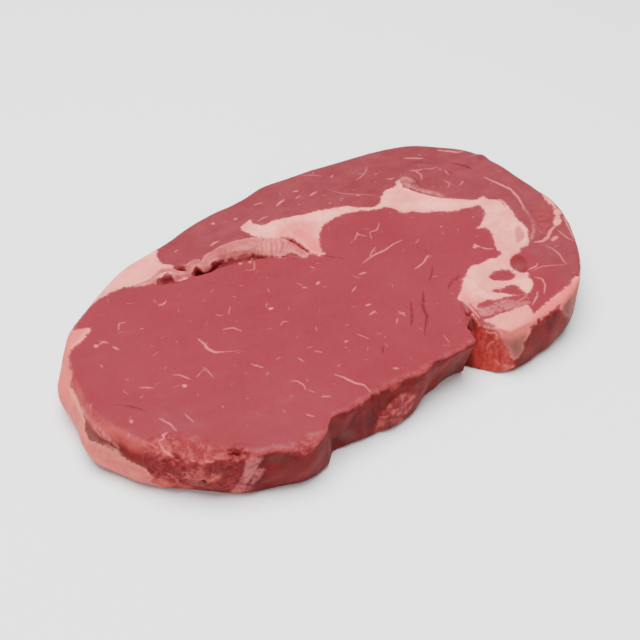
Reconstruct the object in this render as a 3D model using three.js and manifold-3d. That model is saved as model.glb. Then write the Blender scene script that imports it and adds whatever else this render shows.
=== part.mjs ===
// A raw boneless rib-eye steak, cut across the muscle about two centimetres thick and lying on its lower
// cut face. It is one piece of meat: the large eye muscle, the cap muscle that wraps round it, the fat seam
// between them and the block of fat at the tail. Where the seam has opened, a fold of fat stands over a
// dark crevice.
// Millimetres. X runs along the steak, Y across it, +Z is up, and the origin is under its middle.
import * as THREE from "three";
import { mergeVertices } from "three/addons/utils/BufferGeometryUtils.js";
import Module from "manifold-3d";

const wasm = await Module();
wasm.setup();

// The slice
const THICKNESS = 21;
const HALF_LENGTH = 104.2;
const HALF_WIDTH = 64;
const SQUARENESS = 2.5; // exponent of the plain oval: 2 is an ellipse
const OVAL_MIDDLE_X = 1.5;
const TOP_ROUNDING = 2.1;
const FOOT_ROUNDING = 2.2;
const PLAIN_BELLY = 0.8; // how far a wall stands out half way down, where nothing else is said

// The mesh
const RIM_POINTS = 168; // a multiple of four, so that rings can have half or a quarter as many
const FACE_RINGS = 16;
const TOP_ROUNDING_RINGS = 3;
const WALL_RINGS = 5;
const FOOT_ROUNDING_RINGS = 2;
const UNDERSIDE_RINGS = 3;
const OVAL_SIDES = 8;
const STEPS_PER_POINT = 3; // sections of a swept oval for each point of its line

// Where the rim leaves the plain oval: round an angle seen from the middle, in degrees, over a spread, it
// stands out by so much. A negative figure is a hollow.
const RIM_LOBES = [
  { at: 354, spread: 9, out: 1.5 }, // tail end
  { at: 17, spread: 9, out: 1.4 },
  { at: 31, spread: 15, out: 4.8 }, // shoulder of the cap muscle
  { at: 78, spread: 7, out: 1.6 }, // swell along the back of the cap
  { at: 89, spread: 26, out: -1.6 },
  { at: 130, spread: 19, out: -7.2 }, // the back falls away to the fat wedge
  { at: 152, spread: 11, out: -5.6 },
  { at: 170, spread: 7, out: -2.4 },
  { at: 216, spread: 16, out: 4.5 }, // front corner of the eye muscle
  { at: 230, spread: 6, out: 4.8 }, // lobe that ends in a step
  { at: 255, spread: 26, out: -5.6 }, // trimmed front edge
  { at: 276, spread: 6, out: -2.4 },
  { at: 289, spread: 9.5, out: -5.2 },
  { at: 320, spread: 14, out: 6.8 }, // tail beside the fat block
];

// How the wall under the rim leans: belly is how far it stands out half way down, foot how far at the
// bottom.
const WALL_LEANS = [
  { at: 182, spread: 14, belly: 3.2, foot: 3.0 }, // soft fat cap round the left end
  { at: 172, spread: 4, belly: 2.2, foot: 0.2 },
  { at: 177, spread: 2.5, belly: -0.8, foot: -1.6 },
  { at: 181.5, spread: 3, belly: -1.6, foot: -0.9 },
  { at: 187.5, spread: 3, belly: 1.1, foot: 1.6 }, // corner of the fat cap
  { at: 208, spread: 7, belly: 0.3, foot: -3.3 }, // ragged corner, tucked in below
  { at: 228, spread: 6, belly: 0.4, foot: -1.2 },
  { at: 240.5, spread: 3.5, belly: -1.6, foot: -2.2 }, // step behind the front lobe
  { at: 257, spread: 6, belly: 0.6, foot: 1.8 },
  { at: 272, spread: 4, belly: 0, foot: -1.2 },
  { at: 285, spread: 12, belly: -1.8, foot: -5.6 }, // undercut beside the fat block
  { at: 291.5, spread: 3, belly: 0, foot: -1.2 },
  { at: 303, spread: 5, belly: 0.6, foot: 1.8 }, // foot of the fat block
  { at: 318, spread: 7, belly: 0.3, foot: -1.0 }, // tail
  { at: 327, spread: 5, belly: -0.8, foot: -0.4 },
  { at: 352, spread: 14, belly: -1.0, foot: -1.4 },
];

// Long shallow waves of the upper face: height, then millimetres per wave along X and along Y, then a phase.
const FACE_WAVES = [
  { height: 0.35, alongX: 118, alongY: 74, phase: 0.6 },
  { height: 0.25, alongX: -61, alongY: 43, phase: 2.1 },
  { height: 0.14, alongX: 27, alongY: -36, phase: 4.4 },
];
// Round swells (or hollows) of the upper face: middle, radius and height.
const FACE_SWELLS = [
  { x: -45, y: -12, radius: 46, height: 0.9 }, // eye muscle
  { x: 32, y: 10, radius: 24, height: 0.8 }, // round head of the eye muscle
  { x: 24, y: 50, radius: 26, height: 0.7 }, // cap muscle
  { x: 84, y: 28, radius: 20, height: 0.5 },
  { x: 60, y: 19, radius: 9, height: 0.7 }, // thick part of the fat seam
  { x: 44, y: -56, radius: 9, height: 0.9 }, // fat block
  { x: 6, y: 12, radius: 9, height: -1.1 }, // dip where the seam ends
  { x: 63, y: -38, radius: 3.5, height: -2.2 }, // pit between fat and tail
  { x: -92, y: -46, radius: 11, height: -1.6 }, // ragged corner
  { x: -98, y: 6, radius: 16, height: -0.9 }, // left end, rolled over
];

// The fold of fat over the open seam, as points of [x, y, half width, half height]. Towards the wedge it is
// crumpled into short legs that lean on each other, and the last leg is the thick smooth roll.
const FOLD_LEGS = [
  [
    [-57, 39.6, 0.6, 0.8],
    [-49, 38.4, 1.5, 1.9],
    [-43.6, 37.3, 2.0, 2.4],
    [-38.4, 32.3, 1.7, 2.2],
  ],
  [
    [-39.2, 32.0, 1.5, 2.2],
    [-36.4, 34.8, 1.8, 2.6],
    [-33.0, 39.0, 1.5, 2.2],
  ],
  [
    [-33.8, 39.2, 1.4, 2.2],
    [-31.8, 35.8, 1.7, 2.6],
    [-30.2, 31.8, 1.4, 2.0],
  ],
  [
    [-31.0, 32.2, 1.2, 1.8],
    [-27.6, 36.0, 2.4, 2.6],
    [-23.0, 37.3, 2.9, 2.9],
    [-17.5, 36.8, 3.6, 3.1],
    [-11.0, 34.6, 4.4, 3.1],
    [-4.4, 29.8, 4.9, 2.9],
    [1.2, 23.4, 3.5, 2.5],
    [3.6, 16.6, 0.8, 1.0],
  ],
];
const FOLD_STANDS = 0.9; // how far its top is above the face

// Channels cut into the upper face, as points of [x, y, half width, depth]
const OPEN_SEAM = [
  [-54, 37.6, 0.6, 0.8],
  [-47, 36.2, 2.6, 3.2],
  [-38, 34.8, 4.2, 4.8],
  [-26, 32.8, 3.8, 5.4],
  [-15, 29.8, 3.6, 5.0],
  [-6, 25.2, 2.6, 3.8],
  [0, 19.6, 1.5, 2.4],
  [3.5, 15, 0.5, 0.8],
];
const SLIT = [
  [3.0, 32.2, 0.5, 1.0],
  [5.0, 26.4, 1.1, 3.2],
  [5.6, 21.4, 0.9, 2.6],
  [5.2, 18.2, 0.4, 0.8],
];
const SEAM_GROOVE = [
  [60.5, 29, 0.5, 0.6],
  [64.5, 25, 0.9, 1.6],
  [68.5, 19, 0.9, 1.5],
  [72, 14.5, 0.4, 0.6],
];
const TAIL_CREVICE = [
  [36, -37, 0.5, 1.0],
  [34.4, -42, 0.9, 3.0],
  [32.4, -47, 1.3, 6.0],
  [30, -52, 1.8, 12],
];
const CREASES = [
  [
    [11, -39, 0.4, 0.5],
    [15.5, -33.5, 0.7, 0.9],
    [20, -28, 0.4, 0.5],
  ],
  [
    [17, -40, 0.4, 0.4],
    [22, -33, 0.8, 1.0],
    [26, -26.5, 0.7, 0.8],
    [31, -20, 0.4, 0.4],
  ],
];

// A tear in the rim at the ragged corner, and a small nick beside it
const RIM_TEARS = [
  [
    [-77, -50, 0.5, 0.8],
    [-74.2, -51.8, 1.9, 2.8],
    [-71.6, -54.6, 1.7, 3.0],
    [-69.6, -58, 0.7, 1.6],
  ],
  [
    [-52.4, -59.4, 0.4, 0.6],
    [-50, -61, 1.0, 1.6],
    [-47.4, -62.6, 0.9, 1.6],
    [-45.6, -65, 0.5, 0.8],
  ],
];

// The notch that parts the eye muscle from the fat block, seen from above
const NOTCH = { inner: [29.5, -49], eyeSide: [22.5, -66], blockSide: [42.5, -68], radius: 1.2 };
const NOTCH_CURVE_STEPS = 6;
const NOTCH_LEAN = [0.1, 0]; // how far it moves along X and Y for each millimetre of height
// Upright bites out of the front wall, seen from above. The first point is the inner corner.
const WALL_BITES = [
  {
    outline: [
      [-38.6, -57.3],
      [-35.1, -58.3],
      [-31.3, -59.9],
      [-29, -66],
      [-46.9, -66],
    ],
    lean: [-0.11, -0.085],
  },
  {
    outline: [
      [-22.3, -56.2],
      [-19.8, -58.6],
      [-19, -64],
      [-23.6, -64],
    ],
    lean: [-0.158, 0.05],
  },
];
// Grooves that run along the wall, as points of [angle, height, half depth, half width]
const WALL_GROOVES = [
  [
    [180, 17.2, 0.3, 0.4],
    [184.5, 15.4, 1.0, 0.9],
    [189, 15.1, 1.2, 1.0],
    [193, 15.2, 1.1, 0.9],
    [197.5, 14.2, 0.4, 0.4],
  ],
  [
    [201, 9.6, 0.4, 0.5],
    [205.5, 10.6, 1.6, 0.9],
    [208.5, 9.2, 1.6, 1.0],
    [212, 9.8, 1.3, 0.9],
    [214, 12.5, 0.4, 0.5],
  ],
];

// A flap of fat that stands up on the seam
const FLAP = [
  [60.5, 31, 1.6, 1.4],
  [63.5, 32.4, 2.4, 2.0],
  [66, 30.2, 1.9, 1.8],
  [67.2, 25.5, 1.0, 1.1],
];
const FLAP_STANDS = 0.9;

const DEGREE = Math.PI / 180;
const lerp = THREE.MathUtils.lerp;

// 1 at the given angle, falling away over the spread on both sides.
function near(angle, at, spread) {
  const away = ((((angle - at) % 360) + 540) % 360) - 180;
  return Math.exp(-((away / spread) ** 2));
}

function sumNear(list, angle, key) {
  return list.reduce((sum, item) => sum + item[key] * near(angle, item.at, item.spread), 0);
}

// The point of the rim in a direction, seen from above.
function rimPoint(angle) {
  const c = Math.cos(angle * DEGREE);
  const s = Math.sin(angle * DEGREE);
  const share = (Math.abs(c) / HALF_LENGTH) ** SQUARENESS + (Math.abs(s) / HALF_WIDTH) ** SQUARENESS;
  const oval = share ** (-1 / SQUARENESS);
  const radius = oval + sumNear(RIM_LOBES, angle, "out");
  return new THREE.Vector3(OVAL_MIDDLE_X + radius * c, radius * s, 0);
}

// Even steps round the rim: each has its point, the way out of the meat there, and its angle.
function rimStations() {
  const curve = new THREE.CatmullRomCurve3(
    Array.from({ length: 360 }, (_, degree) => rimPoint(degree)),
    true,
  );
  const points = curve.getSpacedPoints(RIM_POINTS).slice(0, RIM_POINTS);
  return points.map((point, i) => {
    const after = points[(i + 1) % RIM_POINTS];
    const before = points[(i + RIM_POINTS - 1) % RIM_POINTS];
    const out = new THREE.Vector3(after.y - before.y, before.x - after.x, 0).normalize();
    const angle = (Math.atan2(point.y, point.x - OVAL_MIDDLE_X) / DEGREE + 360) % 360;
    return { point, out, angle };
  });
}

// Height of the upper face.
function faceHeight(x, y) {
  let z = THICKNESS;
  for (const w of FACE_WAVES) {
    z += w.height * Math.sin(2 * Math.PI * (x / w.alongX + y / w.alongY) + w.phase);
  }
  for (const s of FACE_SWELLS) {
    z += s.height * Math.exp(-((x - s.x) ** 2 + (y - s.y) ** 2) / s.radius ** 2);
  }
  return z;
}

// Folds and torn lumps of the wall: upright folds everywhere, and coarse lumps on the ragged corner and
// the trimmed front.
function wallRelief(angle, z) {
  const folds = 0.45 * Math.sin(angle * 0.42 + 0.8) + 0.3 * Math.sin(angle * 0.93 + z * 0.09);
  const torn = near(angle, 221, 9) + 0.6 * near(angle, 255, 8);
  const lumps = Math.sin(angle * 1.9 + z * 0.55) * Math.cos(angle * 1.1 - z * 0.47 + 1.3);
  return folds + 1.1 * torn * lumps;
}

// How far the wall stands out of the rim, at a share of the way down it.
function wallOut(angle, down) {
  const bulge = PLAIN_BELLY + sumNear(WALL_LEANS, angle, "belly") + wallRelief(angle, THICKNESS * (1 - down));
  return bulge * Math.sin(Math.PI * down) + sumNear(WALL_LEANS, angle, "foot") * down;
}

// The wall's point in a direction and at a height.
function wallPoint(angle, z) {
  const rim = rimPoint(angle);
  const top = faceHeight(rim.x, rim.y) - TOP_ROUNDING;
  const out = new THREE.Vector3(Math.cos(angle * DEGREE), Math.sin(angle * DEGREE), 0);
  return rim.addScaledVector(out, wallOut(angle, (top - z) / (top - FOOT_ROUNDING))).setZ(z);
}

// One ring of the body: each rim station moved out of the meat and set at its height.
function ring(stations, outAt, heightAt) {
  return stations.map((s) => {
    const p = s.point.clone().addScaledVector(s.out, outAt(s));
    p.z = heightAt(p, s);
    return p;
  });
}

// Rings that shrink towards the middle, inwards from the one given, with fewer points as they get smaller.
function closingRings(outer, count, heightAt) {
  const rings = [];
  for (let i = 1; i < count; i++) {
    const share = 1 - i / count;
    const skip = share > 0.5 ? 1 : share > 0.25 ? 2 : 4;
    rings.push(
      outer
        .filter((_, k) => k % skip === 0)
        .map((p) => {
          const x = lerp(OVAL_MIDDLE_X, p.x, share);
          const y = p.y * share;
          return new THREE.Vector3(x, y, heightAt(x, y));
        }),
    );
  }
  rings.push([new THREE.Vector3(OVAL_MIDDLE_X, 0, heightAt(OVAL_MIDDLE_X, 0))]);
  return rings;
}

// A closed skin over rings that run from one end to the other. Neighbouring rings have as many points, or
// one has half as many, and a ring of one point closes an end.
function skin(rings) {
  const starts = [];
  const points = [];
  for (const r of rings) {
    starts.push(points.length);
    points.push(...r);
  }
  const faces = [];
  for (let i = 0; i + 1 < rings.length; i++) {
    const na = rings[i].length;
    const nb = rings[i + 1].length;
    const steps = Math.max(na, nb);
    const a = (k) => starts[i] + (Math.floor((k * na) / steps) % na);
    const b = (k) => starts[i + 1] + (Math.floor((k * nb) / steps) % nb);
    for (let k = 0; k < steps; k++) {
      if (a(k) !== a(k + 1)) faces.push(a(k), b(k), a(k + 1));
      if (b(k) !== b(k + 1)) faces.push(a(k + 1), b(k), b(k + 1));
    }
  }
  return new THREE.BufferGeometry()
    .setAttribute("position", new THREE.Float32BufferAttribute(points.flatMap((p) => p.toArray()), 3))
    .setIndex(faces);
}

function solid(geometry) {
  const bare = geometry.clone();
  bare.deleteAttribute("normal");
  bare.deleteAttribute("uv");
  const merged = mergeVertices(bare, 1e-4);
  return new wasm.Manifold(
    new wasm.Mesh({
      numProp: 3,
      vertProperties: new Float32Array(merged.attributes.position.array),
      triVerts: new Uint32Array(merged.index.array),
    }),
  );
}

function geometryOf(body) {
  const mesh = body.getMesh();
  return new THREE.BufferGeometry()
    .setAttribute("position", new THREE.BufferAttribute(mesh.vertProperties, 3))
    .setIndex(new THREE.BufferAttribute(mesh.triVerts, 1));
}

// The plain slice: upper face, rounded rim, leaning wall, rounded foot and the flat face it lies on.
function sliceBody() {
  const stations = rimStations();
  const onFace = (p) => faceHeight(p.x, p.y);
  const innerRim = ring(stations, () => -TOP_ROUNDING, onFace);
  const rings = closingRings(innerRim, FACE_RINGS, faceHeight).reverse();
  for (let i = 0; i < TOP_ROUNDING_RINGS; i++) {
    const turn = (i / TOP_ROUNDING_RINGS) * 90 * DEGREE;
    rings.push(
      ring(
        stations,
        () => -TOP_ROUNDING * (1 - Math.sin(turn)),
        (p) => onFace(p) - TOP_ROUNDING * (1 - Math.cos(turn)),
      ),
    );
  }
  for (let i = 0; i <= WALL_RINGS; i++) {
    const down = i / WALL_RINGS;
    rings.push(
      ring(
        stations,
        (s) => wallOut(s.angle, down),
        (p, s) => lerp(onFace(s.point) - TOP_ROUNDING, FOOT_ROUNDING, down),
      ),
    );
  }
  for (let i = 1; i <= FOOT_ROUNDING_RINGS; i++) {
    const turn = (i / FOOT_ROUNDING_RINGS) * 90 * DEGREE;
    rings.push(
      ring(
        stations,
        (s) => wallOut(s.angle, 1) - FOOT_ROUNDING * (1 - Math.cos(turn)),
        () => FOOT_ROUNDING * (1 - Math.sin(turn)),
      ),
    );
  }
  rings.push(...closingRings(rings.at(-1), UNDERSIDE_RINGS, () => 0));
  return solid(skin(rings));
}

// A body swept along a line, with an oval section that changes along it. Each station has its point and the
// half sizes of the oval, across the line and upright. The ends close to a point.
function ovalSweep(stations) {
  const rings = stations.map((s, i) => {
    const before = stations[Math.max(i - 1, 0)].point;
    const after = stations[Math.min(i + 1, stations.length - 1)].point;
    const across = new THREE.Vector3(after.y - before.y, before.x - after.x, 0).normalize();
    return Array.from({ length: OVAL_SIDES }, (_, k) => {
      const turn = (k / OVAL_SIDES) * 2 * Math.PI;
      const p = s.point.clone().addScaledVector(across, s.across * Math.cos(turn));
      p.z += s.upright * Math.sin(turn);
      return p;
    });
  });
  return solid(skin([[stations[0].point], ...rings.slice(1, -1), [stations.at(-1).point]]));
}

// Even steps along a line of [x, y, half width, half height] points, on a smooth curve through them.
function alongLine(line, count, heightAt) {
  const path = new THREE.CatmullRomCurve3(line.map(([x, y]) => new THREE.Vector3(x, y, 0)));
  const sizes = new THREE.CatmullRomCurve3(line.map((point) => new THREE.Vector3(point[2], point[3], 0)));
  return Array.from({ length: count }, (_, i) => {
    const t = i / (count - 1);
    const point = path.getPoint(t);
    const size = sizes.getPoint(t);
    point.z = heightAt(point.x, point.y);
    return { point, across: size.x, upright: size.y };
  });
}

function channel(line) {
  return ovalSweep(alongLine(line, STEPS_PER_POINT * line.length, faceHeight));
}

// A leg of the fold: an oval roll whose top stands a little above the face, less at its ends.
function foldLeg(line) {
  const stations = alongLine(line, STEPS_PER_POINT * line.length, faceHeight);
  for (const s of stations) s.point.z += FOLD_STANDS * Math.min(1, s.upright / 2) - s.upright;
  return ovalSweep(stations);
}

// A cut through the whole height. The shape is where it meets the upper face, and it moves with the height
// by its lean.
function uprightCut(shape, [leanX, leanY]) {
  const cut = new THREE.ExtrudeGeometry(shape, {
    depth: 2 * THICKNESS,
    bevelEnabled: false,
    curveSegments: NOTCH_CURVE_STEPS,
  });
  cut.translate(0, 0, -THICKNESS);
  cut.applyMatrix4(new THREE.Matrix4().makeShear(0, 0, 0, 0, leanX, leanY));
  cut.translate(0, 0, THICKNESS);
  return solid(cut);
}

function bite({ outline, lean }) {
  return uprightCut(new THREE.Shape(outline.map(([x, y]) => new THREE.Vector2(x, y))), lean);
}

// A groove along the wall: an oval sweep whose middle is on the surface.
function groove(line) {
  const path = new THREE.CatmullRomCurve3(line.map(([angle, z]) => wallPoint(angle, z)));
  const sizes = new THREE.CatmullRomCurve3(line.map((point) => new THREE.Vector3(point[2], point[3], 0)));
  const count = STEPS_PER_POINT * line.length;
  const stations = Array.from({ length: count }, (_, i) => {
    const size = sizes.getPoint(i / (count - 1));
    return { point: path.getPoint(i / (count - 1)), across: size.x, upright: size.y };
  });
  return ovalSweep(stations);
}

// The notch between the eye muscle and the fat block, with its inner end rounded.
function notchShape() {
  const { inner, eyeSide, blockSide, radius } = NOTCH;
  const shape = new THREE.Shape();
  shape.moveTo(eyeSide[0], eyeSide[1]);
  shape.lineTo(blockSide[0], blockSide[1]);
  shape.lineTo(inner[0] + radius, inner[1] - radius);
  shape.quadraticCurveTo(inner[0], inner[1] + radius, inner[0] - radius, inner[1] - radius);
  shape.closePath();
  return shape;
}

function flap() {
  const stands = (x, y) => faceHeight(x, y) + FLAP_STANDS;
  return ovalSweep(alongLine(FLAP, STEPS_PER_POINT * FLAP.length, stands));
}

// The whole steak. The places above are read from a zero near the middle of the upper face, and the
// finished piece is moved so that the origin is under the middle of its box.
function steakGeometry() {
  let steak = sliceBody();
  const channels = [OPEN_SEAM, SEAM_GROOVE, TAIL_CREVICE, ...CREASES, ...RIM_TEARS];
  for (const line of channels) steak = steak.subtract(channel(line));
  steak = steak.subtract(uprightCut(notchShape(), NOTCH_LEAN));
  for (const cut of WALL_BITES) steak = steak.subtract(bite(cut));
  for (const line of WALL_GROOVES) steak = steak.subtract(groove(line));
  for (const line of FOLD_LEGS) steak = steak.add(foldLeg(line));
  steak = steak.add(flap()).subtract(channel(SLIT));

  const geometry = geometryOf(steak);
  geometry.computeBoundingBox();
  const { min, max } = geometry.boundingBox;
  return geometry.translate(-(min.x + max.x) / 2, -(min.y + max.y) / 2, -min.z);
}

const steak = new THREE.Mesh(
  steakGeometry(),
  new THREE.MeshStandardMaterial({ color: 0xb3575d, roughness: 0.45, metalness: 0 }),
);
steak.name = "steak";

const group = new THREE.Group();
group.add(steak);

export default group;
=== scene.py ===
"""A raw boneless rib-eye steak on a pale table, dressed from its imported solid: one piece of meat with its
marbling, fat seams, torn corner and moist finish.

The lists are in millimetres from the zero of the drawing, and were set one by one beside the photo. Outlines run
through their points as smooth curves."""

import math

import bmesh
import bpy
import numpy as np
from bpy.props import FloatProperty, FloatVectorProperty, PointerProperty
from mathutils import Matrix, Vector, noise


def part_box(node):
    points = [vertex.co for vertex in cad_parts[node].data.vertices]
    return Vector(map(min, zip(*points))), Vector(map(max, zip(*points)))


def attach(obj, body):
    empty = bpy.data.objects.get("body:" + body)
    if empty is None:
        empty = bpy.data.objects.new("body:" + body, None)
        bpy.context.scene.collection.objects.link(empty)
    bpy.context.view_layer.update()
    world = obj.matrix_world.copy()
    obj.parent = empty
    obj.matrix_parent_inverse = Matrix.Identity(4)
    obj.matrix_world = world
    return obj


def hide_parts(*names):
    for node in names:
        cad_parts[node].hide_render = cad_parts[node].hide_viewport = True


bl_info = {
    "name": "Raw Rib-Eye Steak",
    "version": (1, 0, 0),
    "blender": (4, 5, 0),
    "location": "3D View > Sidebar > Steak",
    "description": "Dresses the solid of a raw steak with relief, marbling, fat and a moist finish",
    "category": "Add Mesh",
}

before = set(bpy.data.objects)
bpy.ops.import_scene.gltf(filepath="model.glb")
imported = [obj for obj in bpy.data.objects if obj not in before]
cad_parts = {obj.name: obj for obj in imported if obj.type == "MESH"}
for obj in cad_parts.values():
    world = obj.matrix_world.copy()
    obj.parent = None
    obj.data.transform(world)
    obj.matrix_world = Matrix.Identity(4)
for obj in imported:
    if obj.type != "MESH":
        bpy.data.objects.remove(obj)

MM = 0.001
# The drawing's zero in the frame of the part: the part is centred on its box, the drawing on the eye muscle.
DRAWING_ZERO = (0.725, -0.338)
FACE_HEIGHT = 21.0
POLE = (1.5, 0.0)  # angles round the steak are seen from here
BINS = 720  # steps of half a degree round the steak
REACH = 6.0  # distances to outlines and lines are told apart up to here
FRAME_HALF = 120  # the steak lies within this of the drawing's zero, along X and Y

# Outlines of fat on the cut face. Where one reaches the rim, it runs on past it.
LEFT_WEDGE = (
    (-84, 37.2), (-76, 40), (-70, 41), (-65, 40.6), (-60, 39.5), (-55, 37.8), (-50, 37.5), (-45, 38), (-41.5, 39.5),
    (-41.5, 42), (-43.6, 44.5), (-43.2, 48.5), (-41, 52.5), (-40, 58), (-60, 60), (-82, 48), (-88, 40),
)
SMALL_WEDGE = (
    (-83, 29), (-86, 26.3), (-90, 24), (-95, 22), (-97.5, 18), (-99.5, 12), (-106, 8), (-110, 22), (-98, 38),
    (-90, 34), (-88, 31.3),
)
MAIN_SEAM = (
    (-7.7, 43.6), (-6.7, 45.5), (-3.6, 47.2), (-1, 47.9), (-1.5, 45), (0.6, 42), (3.3, 41.5), (6.4, 41.7),
    (11.2, 40), (18.7, 37.7), (26.6, 35.9), (34.3, 32.2), (38.1, 28.8), (41.2, 26.3), (44.1, 25), (46.5, 25.9),
    (48.4, 27.1), (49.8, 28.5), (52, 30.1), (53.8, 31.4), (55.6, 31.2), (59.2, 30.8), (60.6, 32.2), (61.7, 30.1),
    (61.2, 28.7), (63.4, 26.8), (63.8, 23.8), (65.6, 21.1), (67, 18.6), (68.2, 16.2), (70.4, 13.4), (74.4, 9.9),
    (79.3, 5.5), (84.1, 5.3), (84.8, 2.9), (88.8, -0.6), (88.3, -6.1), (86.4, -10.6), (85.3, -14.2), (84.5, -19.7),
    (82.8, -22.7), (79.3, -27), (77.2, -28.6), (73.2, -29.5), (70.7, -31.4), (67.8, -30.9), (65.4, -32),
    (63.4, -34.6), (64.3, -37.1), (65.6, -40.7), (64.1, -43.9), (63.3, -46.2), (60.4, -49), (57.3, -49.6),
    (53, -48.2), (48.9, -46), (45.4, -45.4), (42.7, -43.4), (38.6, -43.7), (36.4, -45.5), (36.6, -42), (35.6, -39),
    (34.4, -36.6), (36.6, -35.5), (39.8, -33), (43, -29.8), (46.1, -28.5), (49.4, -26.5), (52.2, -25.5),
    (54.2, -26.8), (58.9, -26.2), (62.6, -27.3), (65.5, -26.4), (66.5, -22.4), (68.9, -18.5), (71.1, -14.4),
    (71.7, -10.8), (68.2, -9.1), (71, -8), (73.7, -6.5), (76.2, -4.9), (78.6, -1.7), (79.2, 1.8), (74.9, 2.6),
    (70.8, 3.9), (67.8, 4.6), (64.1, 7.3), (61.5, 9.4), (59, 10.2), (56.2, 12.2), (54.6, 14), (51.1, 15.1),
    (50.5, 17.9), (49.4, 20.4), (46.6, 22.8), (42.8, 23.4), (39.1, 25.1), (35.9, 27), (31.5, 28.5), (26.3, 28.8),
    (20.8, 27.9), (16.1, 24.4), (12.5, 19.4), (10.6, 16.4), (9.4, 13.9), (6.8, 16.6), (6.5, 20.2), (6.2, 26),
    (4.2, 30.8), (-0.1, 32.2), (-4.3, 36.4), (-6, 38.1), (-6.5, 41),
)
FAT_BLOCK = (
    (34.5, -51.5), (37, -52.2), (40, -52.6), (45.8, -53.8), (50, -54.4), (52.8, -55), (52, -58), (50.5, -62), (51, -68),
    (38, -68), (36.4, -61), (36, -57),
)
RIM_FAT = ((105.4, -7.4), (108, -10), (106.8, -13), (104.6, -15.4), (102.8, -15), (103.4, -11))
RIM_SPOT = (
    (103.6, -19), (103, -21.2), (100.6, -22.2), (99.4, -24.2), (97, -26.4), (94.4, -26.4), (95.6, -23.6), (98, -22.4),
    (99.6, -19.8), (101.6, -18.2),
)
TAIL_STRIP = (
    (50.9, -60.3), (56.7, -58.6), (63.8, -56.8), (70, -55.6), (74.4, -55), (78.6, -53), (80, -55), (75.4, -56.8),
    (70.5, -58.9), (63.6, -60.7), (57.6, -61.7), (53.2, -62.2), (50.6, -62),
)
FAT_OUTLINES = (LEFT_WEDGE, SMALL_WEDGE, MAIN_SEAM, FAT_BLOCK, RIM_FAT, RIM_SPOT, TAIL_STRIP)
# Lean that shows through the fat.
LEAN_ISLANDS = (
    (
        (52.8, -33.8), (55.7, -33), (60, -33.9), (62.8, -36.9), (61.4, -38.8), (58.1, -40.2), (53.6, -37.6),
        (52, -35.4),
    ),
    (
        (48.1, -40.3), (50.5, -41.1), (52.9, -41.8), (54.8, -41.9), (57.8, -44.4), (56.8, -46.6), (57, -49.2),
        (55.2, -49.8), (52.6, -47.3), (50.5, -44.2), (48.4, -42.4),
    ),
    (
        (66.2, -30.8), (70.6, -30.6), (71.4, -33.4), (69.8, -37), (67.4, -40.2), (65, -40), (63.8, -36.6),
        (63.6, -33.6),
    ),
)
# Skins of mauve tissue on the cut face, and lines of them with a half width.
MEMBRANES = (
    (
        (37.6, -44.8), (41.1, -46.6), (47.1, -46.4), (50.6, -49.6), (54.9, -54), (51.8, -54.4), (43.4, -52.2),
        (37.3, -50.5), (35.4, -48.2),
    ),
    (
        (60.4, 32.3), (61.5, 31.4), (63.3, 31.7), (64.8, 31), (65.9, 29.5), (66.4, 27.9), (66.8, 26.2), (65.6, 24.9),
        (64, 26.2), (62.4, 27.8), (62, 29.7),
    ),
    ((82.4, -17), (82.2, -20.3), (80.4, -23.8), (77.2, -25.8), (74, -25.6), (76.6, -22.2), (79.6, -18.8)),
)
MEMBRANE_LINES = (
    (0.8, (65.7, 24.8), (67.2, 22.4), (69, 20), (70.4, 17.6), (70.9, 14.9)),
    (0.5, (92.5, -9.6), (90.5, -15.8), (86.1, -22.7), (80.6, -26.9)),
)

# Outlines on the wall, as [angle seen from the pole, height]: fat, mauve skins, rough lighter meat, salmon and
# brownish films, one of them a painted sheen and one painted shade, and painted shade in recesses.
END_CAP = (
    (127.5, 26), (140, 26), (157, 26), (161, 21.5), (169.9, 18), (174.8, 18.2), (178.3, 17.8), (183, 16.9),
    (185, 14.6), (186.4, 14), (188.2, 14.3), (191.3, 14.3), (195.6, 13.5), (198.2, 12.6), (199.3, 11.4), (200, 7.5),
    (199.2, 4.3), (200, -3), (165, -3), (134, -3), (130, 6), (127.5, 14),
)
BLOCK_FRONT = (
    (300.3, 24), (304, 24), (306.6, 24), (306, 18.6), (305, 16), (303.3, 13.9), (302.9, 10.6), (301.9, 8.4),
    (301, 7.8), (300.2, 9.7), (300.0, 13.8), (300.1, 18),
)
BLOCK_DROP = ((299.9, 6.4), (301.0, 4.9), (302.0, 3.2), (301, 1.7), (300.3, 3.0))
TAIL_PATCH = (
    (314.2, 24), (315.2, 18.3), (316.8, 13.4), (318.8, 10.4), (321, 10.6), (324, 7.5), (329, 9), (334, 12.5),
    (337, 17), (339, 24), (326, 24),
)
BAND_ON_WALL = (
    (217.4, 19), (220.2, 18.3), (219.6, 16), (218.7, 12), (217.4, 7.5), (216.1, 2), (213.2, 0.4), (214.6, 5), (216, 10),
    (216.8, 14),
)
BAND_BESIDE = ((219, 13), (220.6, 13.4), (219.8, 9.8), (218.6, 6.8), (217.4, 3.4), (216.6, 3.8), (217.9, 8))
FAR_PATCH = ((92, 3), (99, 5), (110, 3.5), (119, 7), (121, 12), (114, 15), (106, 12.5), (96, 13), (91, 9))
WALL_FAT = (END_CAP, BLOCK_FRONT, BLOCK_DROP, TAIL_PATCH, FAR_PATCH)
RIM_GROOVE = (
    (178.8, 17.8), (183.2, 17.1), (186.2, 17), (189.7, 16.3), (193.2, 15.2), (192.2, 16.8), (188.9, 18), (185, 17.9),
    (180.6, 18.1),
)
MAUVE_BANDS = (BAND_ON_WALL, BAND_BESIDE, RIM_GROOVE)
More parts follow.
